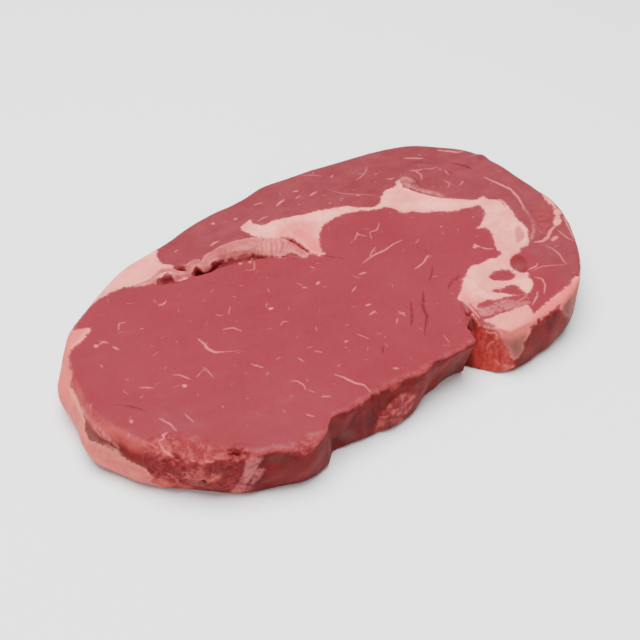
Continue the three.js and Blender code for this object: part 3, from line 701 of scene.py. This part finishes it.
def relief(f):
    """How far each vertex moves along its normal, in millimetres."""
    p = f.p
    z = p[:, 2]
    swell = 0.24 * rough(p, 17, 1) + 0.1 * rough(p, 6.5, 2) + 0.04 * rough(p, 2.6, 3)

    on_lean = smooth(3, 1, f.depth) * smooth(0.2, -0.6, f.fat) * (1 - f.wall)
    along_fibres = p @ np.array([[0.96, 0.27, 0], [-0.27, 0.96, 0], [0, 0, 1]]) * np.array([0.22, 1, 0.6])
    ripples = 0.2 * on_lean * rough(along_fibres, 4.6, 11)
    raised_fat = 0.25 * smooth(-0.7, 0.8, f.fat) * (1 - f.wall)

    creases = 1.5 * np.abs(rough(p, 5.0, 4)) + 1.1 * np.abs(rough(p, 2.2, 5)) + 0.5 * np.abs(rough(p, 1.2, 12))
    crags = torn_corner(p) * smooth(1.5, 8, z) * (0.9 - creases)

    front = smooth(210, 216, f.angle) * smooth(300, 292, f.angle)
    lip = front * smooth(5, 0.5, np.abs(z - 18.5)) * smooth(6, 2.5, f.rim - f.radius)
    nicks = lip * (0.5 * rough(p, 3.2, 6) + 0.25 * rough(p, 1.6, 7))

    upright = p * np.array([1, 1, 0.35])
    wall_folds = 0.34 * rough(upright, 5.5, 8) + 0.1 * rough(upright, 2.4, 9)
    wall_folds = f.wall * (1 - 0.6 * smooth(0, 1, f.fat)) * wall_folds

    wrinkled = smooth(*WRINKLES_BEGIN, f.fold_way) * smooth(*WRINKLES_END, f.fold_way)
    wrinkles = 0.09 * wrinkled * np.sin(f.fold_way * 3.2 + 5.0 * rough(p, 5, 13))
    pleats = 0.26 * rough(p, 3, 10) + 0.14 * rough(p, 1.4, 14) + wrinkles
    pleats = smooth(-0.4, 0.8, f.fold) * smooth(4.5, 2.5, f.depth) * pleats

    middle, sizes, height = LUMP
    lump = height * np.exp(-np.sum(((p[:, :2] - middle) / sizes) ** 2, axis=1)) * smooth(12, 18, z)
    above_table = smooth(0.3, 1.5, z)
    return above_table * (swell + ripples + raised_fat + crags + nicks + wall_folds + pleats + lump)


def keep_in_box(coordinates):
    """Holds the skin just inside the box of the solid."""
    low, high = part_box("steak")
    return np.clip(coordinates, np.array(low) + 1e-5, np.array(high) - 1e-5)


def attribute(mesh, name, kind, values):
    """Stores one value or vector on each vertex under a name."""
    layer = mesh.attributes.new(name, kind, "POINT")
    flat = np.ascontiguousarray(values, np.float32).ravel()
    layer.data.foreach_set("vector" if kind == "FLOAT_VECTOR" else "value", flat)


def meat_mesh(piece, settings):
    """Remeshes the piece, refines the seams and corners, and carves the relief."""
    remeshed(piece, settings.skin)
    bm = bmesh.new()
    bm.from_mesh(piece.data)
    f = Fields(*read(bm))
    notch = np.hypot(*(f.p[:, :2] - NOTCH[0]).T) < NOTCH[1]
    corner = torn_corner(f.p) > 0.3
    refined(bm, (f.fold > -1.6) | (f.seam > -1) & (f.depth < 9) | (notch | corner) & (f.p[:, 2] > 1))
    for _ in range(2):
        bmesh.ops.smooth_vert(bm, verts=bm.verts, factor=0.5, use_axis_x=True, use_axis_y=True, use_axis_z=True)
    coordinates, normals = read(bm)
    f = Fields(coordinates, normals)
    moved = coordinates + normals * (relief(f) * settings.relief * MM)[:, None]
    move(bm, keep_in_box(moved))
    bm.to_mesh(piece.data)
    coordinates, normals = read(bm)
    bm.free()
    for polygon in piece.data.polygons:
        polygon.use_smooth = True
    return Fields(coordinates, normals)


def flecks(count=190, seed=7):
    """Short faint lines of fat, spread over the cut face by a seeded draw."""
    draw = np.random.default_rng(seed)
    lines, tries = [], 0
    while len(lines) < count and tries < 40 * count:
        tries += 1
        at = draw.uniform(*FLECK_AREA)
        if all(np.hypot(*(at - other[1])) > FLECK_GAP for other in lines):
            turn = draw.uniform(0, math.pi)
            half = draw.uniform(*FLECK_HALF) * np.array([math.cos(turn), math.sin(turn)])
            bend = draw.uniform(-0.4, 0.4, 2)
            lines.append((draw.uniform(*FLECK_WIDTH), at - half, at + bend, at + half))
    return lines


def distance_3d(p, points):
    """Distance of each vertex to a line through points of [x, y, z]."""
    line = rounded(points, closed=False)
    distance = np.full(len(p), 9.0)
    for a, b in zip(line, line[1:]):
        ab = b - a
        t = np.clip(((p - a) @ ab) / (ab @ ab), 0, 1)
        distance = np.minimum(distance, np.linalg.norm(p - a - t[:, None] * ab, axis=1))
    return distance


def paint_lines(mesh, f):
    """Stores the thin lines of fat and the creases with their painted shade. The underside has the upper face's lines,
    turned over.
    """
    seen = f.p[:, :2]
    xy = np.where((f.under > 0.5)[:, None], seen * (-1, 1) + UNDERSIDE_SHIFT, seen)
    layers = {f"streak_{i}": layer for i, layer in enumerate(apart(STREAKS))}
    for name, layer in {**layers, "fleck": flecks()}.items():
        fields = stroke_fields(xy, layer)
        fields[:, 1] = np.maximum(fields[:, 1], (f.depth - 1.6) * 3 * (1 - f.under))
        attribute(mesh, name, "FLOAT_VECTOR", fields)
    fields = stroke_fields(seen, SHADED_CREASES)
    fields[:, 1] = np.maximum(fields[:, 1], (f.depth - 3) * 3)
    attribute(mesh, "crease_shade", "FLOAT_VECTOR", fields)


def block_side(f):
    """1 on the moist side of the fat block, in the notch."""
    x, y, z = f.p.T
    near_block = smooth(29, 31, x) * smooth(42, 39, x) * smooth(-48, -50, y)
    return near_block * smooth(-0.1, -0.45, f.n[:, 0]) * smooth(21.5, 19, z) * smooth(0.3, -0.5, f.block_corner)


def painted_shade_places(f, orange, on_face):
    """How much painted shade darkens the meat in the open seam, the notch and beside the block's side there, the
    pockets and the wall's recesses.
    """
    x, y, _ = f.p.T
    crevice_shade = smooth(1.4, 3.6, f.depth) * smooth(-0.5, 0.5, np.maximum(f.seam, f.fold)) * (1 - f.wall)
    crevice_shade = crevice_shade * (1 - 0.75 * smooth(-33, -25, x))
    notch = smooth(-44, -46, y) * smooth(22, 25, x) * smooth(39, 36, x) * smooth(0.6, 2.0, f.depth)
    notch_line = 31.3 + (y + 50) * 0.2
    notch = notch * smooth(3.2, 0.8, np.abs(x - notch_line)) * (1 - 0.85 * orange)
    pockets = smooth(-0.5, 0.7, in_outlines(f.p[:, :2], POCKETS)) * on_face * smooth(0.9, -0.1, f.fold)
    pockets = pockets * (1 - 0.5 * smooth(-33, -28, x) * smooth(1, -3, x))
    block_foot = 0.4 * orange * smooth(-54, -50, y)
    on_wall = 0.75 * smooth(-0.8, 1.2, f.wall_patch(WALL_SHADE))
    return np.maximum.reduce([crevice_shade, notch, 0.8 * pockets, block_foot, on_wall])


def rim_highlight(f):
    """Where the painted highlight goes: 1 along the upper edge of the front rim, and a little less along the left one.
    """
    front = smooth(213, 218, f.angle) * smooth(302, 296, f.angle)
    left = smooth(162, 168, f.angle) * smooth(206, 200, f.angle)
    turning_down = smooth(0.25, 0.5, f.n[:, 2]) * smooth(0.985, 0.88, f.n[:, 2]) * smooth(4, 2, f.depth)
    return (front + 0.8 * left) * turning_down * smooth(6, 4, f.rim - f.radius)


def paint(mesh, f):
    """Stores on each vertex what the finish reads."""
    p, xy = f.p, f.p[:, :2]

    def store(name, *parts):
        attribute(mesh, name, "FLOAT_VECTOR", np.stack(parts, axis=1))

    paint_lines(mesh, f)
    attribute(mesh, "fat", "FLOAT", f.fat)
    attribute(mesh, "wall", "FLOAT", f.wall)
    store("fold", f.fold, f.fold_way, f.depth)

    on_face = smooth(6, 4, f.depth) * (1 - f.under)
    orange = block_side(f)
    pink = [share * smooth(-1.8, 2.4, signed_distance(xy, outline)) for share, *outline in PINK_FAT]
    # The middle value is painted shade.
    store("tints_and_shade", orange, painted_shade_places(f, orange, on_face), np.max(pink, axis=0))

    light = smooth(-0.6, 0.6, f.wall_patch(ROUGH_PATCHES))
    salmon = smooth(-1.2, 0.8, f.wall_patch(SALMON_FILMS))
    # Brownish films, with a painted sheen on the front wall and painted shade on the block's fat.
    tan = [share * smooth(-1.4, 1.4, f.wall_patch([outline])) for share, *outline in TAN_SHADE_AND_SHEEN_FILMS]
    store("films", light, salmon, np.max(tan, axis=0))

    mauve = np.maximum(in_outlines(xy, MEMBRANES), in_lines(xy, MEMBRANE_LINES))
    mauve = np.maximum(smooth(-0.5, 0.7, mauve) * on_face, smooth(-0.4, 0.5, f.wall_patch(MAUVE_BANDS)))
    # Light strand lines, one of them a painted highlight along the top of the left wall's fat.
    strands_and_highlight = [smooth(reach, 0.4 * reach, distance_3d(p, line)) for reach, *line in STRANDS_AND_HIGHLIGHT]
    # The middle value is the painted highlight on the rim's edges.
    store("veils_and_highlights", mauve, rim_highlight(f), np.max(strands_and_highlight, axis=0))

    torn = np.maximum(torn_corner(p), 0.4 * inside_ellipse(p, *FRAYED_TAIL, fade=1.2) * on_face)
    cap = smooth(-2, 2, cap_side(xy)) * (1 - 0.5 * smooth(-15, -45, p[:, 0]))
    rim_roll = f.near(*RIM_ROLL) * smooth(16, 18.5, p[:, 2]) * smooth(4.5, 2.0, f.rim - f.radius)
    store("zones", torn, cap, rim_roll)


def cap_side(xy):
    """Positive in the cap muscle, which lies beyond the seam and right of the fat, in millimetres."""
    x, y = xy.T
    beyond = y - np.interp(x, *zip(*CAP_SEAM))
    right = x - CAP_FROM
    return np.where(y < 4, right, np.maximum(beyond, right))


class Wire:
    """A value in a shader. Sums on it add Math nodes, and make() adds any other node."""

    def __init__(self, tree, socket=None):
        self.tree = tree
        self.socket = socket

    def make(self, kind, settings=None, inputs=None, output=0):
        node = self.tree.nodes.new(kind)
        for name, value in (settings or {}).items():
            setattr(node, name, value)
        for name, value in (inputs or {}).items():
            if isinstance(value, Wire):
                self.tree.links.new(value.socket, node.inputs[name])
            else:
                node.inputs[name].default_value = value
        return Wire(self.tree, node.outputs[output] if node.outputs else None)

    def math(self, operation, *values):
        return self.make("ShaderNodeMath", {"operation": operation}, dict(enumerate(values)))

    def __add__(self, other):
        return self.math("ADD", self, other)

    __radd__ = __add__

    def __sub__(self, other):
        return self.math("SUBTRACT", self, other)

    def __rsub__(self, other):
        return self.math("SUBTRACT", other, self)

    def __mul__(self, other):
        return self.math("MULTIPLY", self, other)

    __rmul__ = __mul__

    def __abs__(self):
        return self.math("ABSOLUTE", self)

    def above(self, low, high):
        """0 below low and 1 above high, with a soft slope between."""
        settings = {"interpolation_type": "SMOOTHSTEP"}
        return self.make("ShaderNodeMapRange", settings, {"Value": self, "From Min": low, "From Max": high})

    def blend(self, first, second):
        """The first colour where this is 0, the second where it is 1."""
        first, second = (c if isinstance(c, Wire) else colour(c) for c in (first, second))
        return self.make("ShaderNodeMix", {"data_type": "RGBA"}, {0: self, 6: first, 7: second}, output=2)


def colour(values):
    return (*values, 1.0)


class Finish:
    """The moist meat: lean, marbling, fat and the tones of seams and walls, with painted shade and highlights, in one
    material.
    """

    def __init__(self, settings):
        material = bpy.data.materials.new("raw_beef")
        material.use_nodes = True
        self.tree = material.node_tree
        self.tree.nodes.clear()
        self.wire = Wire(self.tree)
        self.settings = settings
        self.material = material
        self.place = self.wire.make("ShaderNodeTexCoord", output="Object")
        self.build()

    def grain(self, size, detail=2.0, roughness=0.5, stretch=(1, 1, 1)):
        """Noise between 0 and 1 with features of a size in millimetres."""
        place = self.place
        if stretch != (1, 1, 1):
            place = self.wire.make("ShaderNodeMapping", None, {"Vector": place, "Scale": stretch})
        inputs = {"Vector": place, "Scale": 1.0 / (size * MM), "Detail": detail, "Roughness": roughness}
        return self.wire.make("ShaderNodeTexNoise", None, inputs)

    def stored(self, name, output="Fac"):
        return self.wire.make("ShaderNodeAttribute", {"attribute_name": name}, output=output)

    def stored_three(self, name):
        vector = self.stored(name, "Vector")
        return [self.wire.make("ShaderNodeSeparateXYZ", None, {0: vector}, output=i) for i in range(3)]

    def stroke(self, name, wobble, ragged):
        """How much of a thin line of fat shows: 1 on its middle, fading at its sides and ends."""
        offset, past, width = self.stored_three(name)
        side = abs(offset + wobble) - width * ragged
        return (0 - side).above(-0.2, 0.25) * (0 - past).above(-0.35, 0.6) * (width.above(0.1, 0.6) * 0.55 + 0.45)

    def build(self):
        s = self.settings
        fat_edge = self.stored("fat")
        wall = self.stored("wall")
        # The middle value is painted shade.
        orange, painted_shade, pink = self.stored_three("tints_and_shade")
        torn, cap, rim = self.stored_three("zones")
        light, salmon, tan = self.stored_three("films")
        # The middle value is the painted highlight on the rim's edges, the last the light strand lines and one painted
        # highlight.
        mauve, lip, strands_and_highlight = self.stored_three("veils_and_highlights")
        fold, fold_way, depth = self.stored_three("fold")

        # Noises that the tones share.
        broad = self.grain(30, 2)
        mottle = self.grain(6.5, 3, 0.5)
        fine = self.grain(1.3, 3, 0.6)
        fibre = self.grain(1.5, 2, 0.6, (1, 1, 0.22))
        speck = self.grain(0.55, 2, 0.5)
        shred = self.grain(2.6, 4, 0.65)
        drawn = self.grain(4.5, 3, 0.6, (0.3, 1, 1))

        # Lean: the eye and cap muscles, the wall, torn meat with painted highlight and shade, and the edges of the rim
        # with a painted highlight.
        lean_mix = (broad * 0.7 + mottle * 0.2 + fine * 0.15 + drawn * 0.3 - 0.18).above(0.2, 0.8)
        lean = lean_mix.blend(s.lean_deep, s.lean)
        cap_mix = (broad * 0.3 + mottle * 0.5 + fine * 0.3 + drawn * 0.4 - 0.25).above(0.25, 0.75)
        lean = (cap * 0.85).blend(lean, cap_mix.blend(s.cap_deep, s.cap))
        wall_mix = fibre * 0.3 + mottle * 0.7 + broad * 0.4 - 0.2
        side = wall_mix.above(0.25, 0.8).blend(s.side_deep_and_crease_shade, s.side)
        lean = wall.blend(lean, side)
        # Torn meat: a painted highlight on its raised lumps and painted shade in its hollows, following the noise of
        # its bump.
        torn_light_and_shade = (shred * 1.2 - 0.1).above(0.36, 0.64)
        torn_meat = torn_light_and_shade.blend(s.torn_shade, s.torn)
        lean = self.wire.math("MAXIMUM", torn * (1 - wall * 0.5), light * 0.9).blend(lean, torn_meat)
        lean = (light * shred.above(0.48, 0.62) * 0.25).blend(lean, s.vein)
        # A painted highlight along the upper edges of the rim.
        lean = (lip * (fine + mottle).above(0.7, 1.2) * 0.6).blend(lean, s.lip)
        lean = (rim * (0.15 + mottle * 0.75)).blend(lean, s.roll)

        # Thin lines of fat, and creases with painted shade, uneven in width.
        wobble = (self.grain(1.1, 2) - 0.5) * 0.5
        ragged = self.grain(2.3, 2) * 1.3 + 0.35
        streaks = self.stroke("streak_0", wobble, ragged)
        for name in ("streak_1", "streak_2", "fleck"):
            streaks = self.wire.math("MAXIMUM", streaks, self.stroke(name, wobble, ragged))
        lean = (streaks * 0.75).blend(lean, s.vein)
        cut, cut_past, cut_width = self.stored_three("crease_shade")
        crease_shade = (cut_width * 1.3 - abs(cut + wobble * 1.4)).above(-0.3, 0.4) * (0 - cut_past).above(-0.8, 2.5)
        crease_shade = crease_shade * ragged.above(0.5, 1.1)

        # Fat: duller on the wall, and pinker along its edges and in places.
        fat_grain = self.grain(3.6, 3, 0.55)
        fat_mix = fat_grain * 0.5 + self.grain(13, 2) * 0.75 + fine * 0.25 - 0.25
        fat = fat_mix.above(0.3, 0.72).blend(s.fat_pink_and_highlight, s.fat)
        fat = (wall * 0.9).blend(fat, fat_mix.above(0.25, 0.75).blend(s.fat_side_deep, s.fat_side))
        fat = (fat_edge.above(1.8, 0.2) * (0.25 + mottle * 0.6)).blend(fat, s.fat_pink_and_highlight)
        fat = (pink * (0.5 + mottle)).blend(fat, s.fat_warm)
        fat = (rim * 0.85).blend(fat, s.roll)

        # Fat over the lean, with a crumbly edge, and thin films over both.
        edge = fat_edge + (self.grain(2.6, 3, 0.6) - 0.5) * 1.9 + (fine - 0.5) * 1.2
        base = (edge.above(-0.9, 0.3) * 0.3).blend(lean, s.vein)
        fat_cover = edge.above(-0.1, 0.3)
        base = fat_cover.blend(base, fat)
        base = (salmon * mottle.above(0.3, 0.6) * 0.5).blend(base, s.fat_side)
        # Brownish films, with a painted sheen on the front wall and painted shade on the block's fat.
        base = (tan * (mottle.above(0.3, 0.62) * 0.3 + 0.62)).blend(base, s.tan)

        # The fold, the mauve skins, the block's side, the painted shade, the light strand lines with a painted
        # highlight and the creases' painted shade lie on top.
        wrinkled = fold_way.above(*WRINKLES_BEGIN) * fold_way.above(*WRINKLES_END)
        pleat = (self.wire.math("SINE", fold_way * 3.4 + mottle * 14 + fine * 3) * 0.5 + 0.5) * wrinkled
        # The pleats add painted shade of the wrinkles to the fold's own uneven tone.
        fold_tone_and_wrinkle_shade = (pleat * 0.3 + fine * 0.6 + mottle * 0.6 - 0.2).above(0.15, 0.8)
        skin = fold_tone_and_wrinkle_shade.blend(s.fold_deep_and_wrinkle_shade, s.fold)
        on_fold = (fold + (fine - 0.5) * 0.9).above(-0.15, 0.3) * depth.above(5.0, 2.5)
        base = on_fold.blend(base, skin)
        bright_edge = on_fold * (fold + (fine - 0.5) * 0.6).above(0.95, 0.25) * mottle.above(0.3, 0.55)
        base = (bright_edge * 0.6).blend(base, s.fat_pink_and_highlight)
        veil = (fine * 0.5 + mottle * 0.6 - 0.05).above(0.25, 0.7).blend(s.mauve_deep, s.mauve)
        base = (mauve * (fine + mottle).above(0.5, 1.0) * 0.85).blend(base, veil)
        block = (fibre * 0.6 + fine * 0.4).above(0.3, 0.7).blend(s.orange_deep, s.orange)
        base = (orange * (0.55 + mottle * 0.7)).blend(base, block)
        # Painted shade in the seams, the notch, the pockets and the wall's recesses.
        base = (painted_shade * (0.75 + fine * 0.4)).blend(base, s.crevice_shade)
        # Light strand lines, and a painted highlight along the top of the left wall's fat.
        base = (strands_and_highlight * mottle.above(0.3, 0.6) * 0.6).blend(base, s.fat_pink_and_highlight)
        # Painted shade in the creases.
        base = (crease_shade * 0.55).blend(base, s.side_deep_and_crease_shade)

        # Moisture and fine bumps.
        roughness = 0.46 - fine * 0.12 + speck * 0.1 + fat_cover * 0.04 + wall * 0.15
        wet = ((broad * 0.5 + mottle * 0.6).above(0.42, 0.72) * 0.12 + 0.02) * (1 - wall) * (1 - torn * 0.7)
        wet = wet * (1 - painted_shade) * (1 - lip * 0.8)

        height = fine * 0.22 + speck * 0.12 + mottle * 0.4 + streaks * 0.22 - crease_shade * 1.0
        height = height + wall * fibre * 0.3 + torn * shred * 1.6 + fat_cover * fat_grain * 0.25
        height = height + on_fold * pleat * 0.4
        normal = self.wire.make("ShaderNodeBump", None, {"Strength": 0.55, "Distance": 0.0005, "Height": height})

        surface = self.wire.make(
            "ShaderNodeBsdfPrincipled",
            None,
            {
                "Base Color": base,
                "Roughness": roughness,
                "IOR": 1.4,
                "Specular IOR Level": 0.12,
                "Subsurface Weight": 0.22,
                "Subsurface Radius": (1.0, 0.35, 0.25),
                "Subsurface Scale": 0.0016,
                "Coat Weight": wet,
                "Coat Roughness": 0.22,
                "Coat IOR": 1.36,
                "Normal": normal,
            },
        )
        self.wire.make("ShaderNodeOutputMaterial", None, {"Surface": surface})


def tone(name, description, default):
    limits = {"subtype": "COLOR", "size": 3, "min": 0, "max": 1}
    return FloatVectorProperty(name=name, description=description, default=default, **limits)


class SteakSettings(bpy.types.PropertyGroup):
    """Sizes and colours of the meat."""

    skin: FloatProperty(name="Skin", description="Size of the mesh's quads", default=0.0009, unit="LENGTH")
    relief: FloatProperty(name="Relief", description="Strength of the carved relief", default=1.0, subtype="FACTOR")
    lean: tone("Lean", "Lean of the eye muscle", (0.188, 0.0205, 0.031))
    lean_deep: tone("Lean, deep", "Darker lean of the eye muscle", (0.164, 0.017, 0.0255))
    cap: tone("Cap", "Lean of the cap muscle", (0.183, 0.031, 0.039))
    cap_deep: tone("Cap, deep", "Darker lean of the cap muscle", (0.132, 0.0185, 0.024))
    side: tone("Side", "Lean of the wall", (0.168, 0.0092, 0.0088))
    # Also the colour of the painted shade in the creases.
    side_deep_and_crease_shade: tone("Side, deep", "Darkest lean of the wall", (0.06, 0.004, 0.005))
    # Torn meat as lit and shaded copies: the lighter is a painted highlight, the darker painted shade.
    torn: tone("Torn", "Lighter torn meat", (0.26, 0.033, 0.037))
    torn_shade: tone("Torn, deep", "Darker torn meat", (0.155, 0.0128, 0.015))
    vein: tone("Marbling", "Fat in the lean", (0.55, 0.115, 0.115))
    fat: tone("Fat", "Fat of the seams", (0.86, 0.295, 0.228))
    # Also the colour of the painted highlight along the top of the left wall's fat.
    fat_pink_and_highlight: tone("Fat, pink", "Pinker fat of the seams", (0.64, 0.17, 0.15))
    fat_warm: tone("Fat, warm", "Pinkest fat of the seams", (0.58, 0.088, 0.084))
    fat_side: tone("Fat, side", "Fat on the wall", (0.55, 0.102, 0.082))
    fat_side_deep: tone("Fat, side, deep", "Darker fat on the wall", (0.36, 0.062, 0.052))
    fold: tone("Fold", "Fat of the fold", (0.52, 0.11, 0.105))
    # Also the colour of the painted shade in the fold's wrinkles.
    fold_deep_and_wrinkle_shade: tone("Fold, deep", "Darker fat of the fold", (0.25, 0.04, 0.044))
    orange: tone("Block side", "Moist side of the fat block", (0.45, 0.041, 0.035))
    orange_deep: tone("Block side, deep", "Darker side of the fat block", (0.21, 0.0125, 0.011))
    roll: tone("Rim roll", "Pinkish edge of the rim above the fat", (0.42, 0.06, 0.055))
    # Colour of the painted highlight on the rim's edges.
    lip: tone("Lip", "Lighter edge of the front rim", (0.3, 0.05, 0.05))
    mauve: tone("Mauve skin", "Thin skins between the muscles", (0.45, 0.108, 0.104))
    mauve_deep: tone("Mauve skin, deep", "Darker thin skins", (0.2, 0.04, 0.045))
    # Also the colour of the painted sheen on the front wall and the painted shade on the block's fat.
    tan: tone("Tan", "Brownish film on the walls", (0.112, 0.046, 0.038))
    # Colour of the painted shade in the seams, notch, pockets and recesses.
    crevice_shade: tone("Crevice", "Meat in the open seam", (0.115, 0.01, 0.011))


class StageSettings(bpy.types.PropertyGroup):
    """Camera, lights and table."""

    elevation: FloatProperty(
        name="Elevation", description="Camera above the table", default=math.radians(42), subtype="ANGLE"
    )
    azimuth: FloatProperty(
        name="Azimuth", description="Camera round the steak", default=math.radians(-36), subtype="ANGLE"
    )
    distance: FloatProperty(name="Distance", description="Camera to its aim", default=0.48, unit="LENGTH")
    lens: FloatProperty(name="Lens", description="Focal length in millimetres", default=72.0)
    key: FloatProperty(name="Overhead light", description="Power of the overhead light", default=36.0, unit="POWER")
    fill: FloatProperty(name="Front light", description="Power of the front light", default=2.5, unit="POWER")
    sky: FloatProperty(name="Room light", description="Strength of the even light", default=0.6)
    table: tone("Table", "Colour of the table", (0.86, 0.86, 0.86))


CAMERA_AIM = (-6.59, -6.98, 10.5)  # in the drawing, millimetres
SENSOR_WIDTH = 36.0
TABLE_REACH = 6.0
# The soft lights: place and size, in metres.
OVERHEAD_LIGHT = ((-0.1, 0.05, 1.1), 0.9)
FRONT_LIGHT = ((-0.7, -0.8, 0.5), 0.6)
LIGHT_AIM = (0, 0, 0.01)


def drawing_point(point):
    """A point of the drawing, in metres in the part's frame."""
    return Vector(((point[0] + DRAWING_ZERO[0]) * MM, (point[1] + DRAWING_ZERO[1]) * MM, point[2] * MM))


def aim(thing, target):
    thing.rotation_euler = (target - thing.location).to_track_quat("-Z", "Y").to_euler()


def area_light(name, place, size, power):
    light = bpy.data.lights.new(name, "AREA")
    light.shape = "DISK"
    light.size = size
    light.energy = power
    lamp = bpy.data.objects.new(name, light)
    lamp.location = place
    aim(lamp, Vector(LIGHT_AIM))
    bpy.context.scene.collection.objects.link(lamp)


def camera(stage):
    data = bpy.data.cameras.new("camera")
    data.lens = stage.lens
    data.sensor_width = SENSOR_WIDTH
    viewer = bpy.data.objects.new("camera", data)
    target = drawing_point(CAMERA_AIM)
    e, a = stage.elevation, stage.azimuth
    back = Vector((math.sin(a) * math.cos(e), -math.cos(a) * math.cos(e), math.sin(e)))
    viewer.location = target + back * stage.distance
    aim(viewer, target)
    bpy.context.scene.collection.objects.link(viewer)
    bpy.context.scene.camera = viewer


def table(stage):
    bm = bmesh.new()
    bmesh.ops.create_grid(bm, x_segments=1, y_segments=1, size=TABLE_REACH)
    mesh = bpy.data.meshes.new("table")
    bm.to_mesh(mesh)
    bm.free()
    top = bpy.data.objects.new("table", mesh)
    bpy.context.scene.collection.objects.link(top)
    material = bpy.data.materials.new("table")
    material.use_nodes = True
    shader = material.node_tree.nodes["Principled BSDF"]
    shader.inputs["Base Color"].default_value = colour(stage.table)
    shader.inputs["Roughness"].default_value = 0.7
    mesh.materials.append(material)


def room(stage):
    world = bpy.data.worlds.new("room")
    world.use_nodes = True
    background = world.node_tree.nodes["Background"]
    background.inputs["Color"].default_value = (1, 1, 1, 1)
    background.inputs["Strength"].default_value = stage.sky
    bpy.context.scene.world = world


class STEAK_OT_meat(bpy.types.Operator):
    """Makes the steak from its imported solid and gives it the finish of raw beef"""

    bl_idname = "steak.meat"
    bl_label = "Make the steak"

    def execute(self, context):
        settings = context.scene.steak
        piece = merged_copy(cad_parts["steak"])
        fields = meat_mesh(piece, settings)
        paint(piece.data, fields)
        piece.data.materials.clear()
        piece.data.materials.append(Finish(settings).material)
        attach(piece, "root")
        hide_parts("steak")
        return {"FINISHED"}


class STEAK_OT_stage(bpy.types.Operator):
    """Sets the pale table, the soft lights and the camera"""

    bl_idname = "steak.stage"
    bl_label = "Set the stage"

    def execute(self, context):
        stage = context.scene.steak_stage
        camera(stage)
        table(stage)
        room(stage)
        area_light("overhead", *OVERHEAD_LIGHT, stage.key)
        area_light("front", *FRONT_LIGHT, stage.fill)
        return {"FINISHED"}


class STEAK_PT_panel(bpy.types.Panel):
    """Lists the steps and their settings"""

    bl_idname = "STEAK_PT_panel"
    bl_label = "Steak"
    bl_space_type = "VIEW_3D"
    bl_region_type = "UI"
    bl_category = "Steak"

    def draw(self, context):
        for settings, operator in (
            (context.scene.steak, STEAK_OT_meat),
            (context.scene.steak_stage, STEAK_OT_stage),
        ):
            box = self.layout.box()
            for name in settings.__annotations__:
                box.prop(settings, name)
            box.operator(operator.bl_idname)


CLASSES = (SteakSettings, StageSettings, STEAK_OT_meat, STEAK_OT_stage, STEAK_PT_panel)


def register():
    for cls in CLASSES:
        bpy.utils.register_class(cls)
    bpy.types.Scene.steak = PointerProperty(type=SteakSettings)
    bpy.types.Scene.steak_stage = PointerProperty(type=StageSettings)


def unregister():
    del bpy.types.Scene.steak_stage
    del bpy.types.Scene.steak
    for cls in reversed(CLASSES):
        bpy.utils.unregister_class(cls)


def main():
    register()
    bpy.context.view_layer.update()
    bpy.ops.steak.stage()
    bpy.ops.steak.meat()


if __name__ == "__main__":
    main()
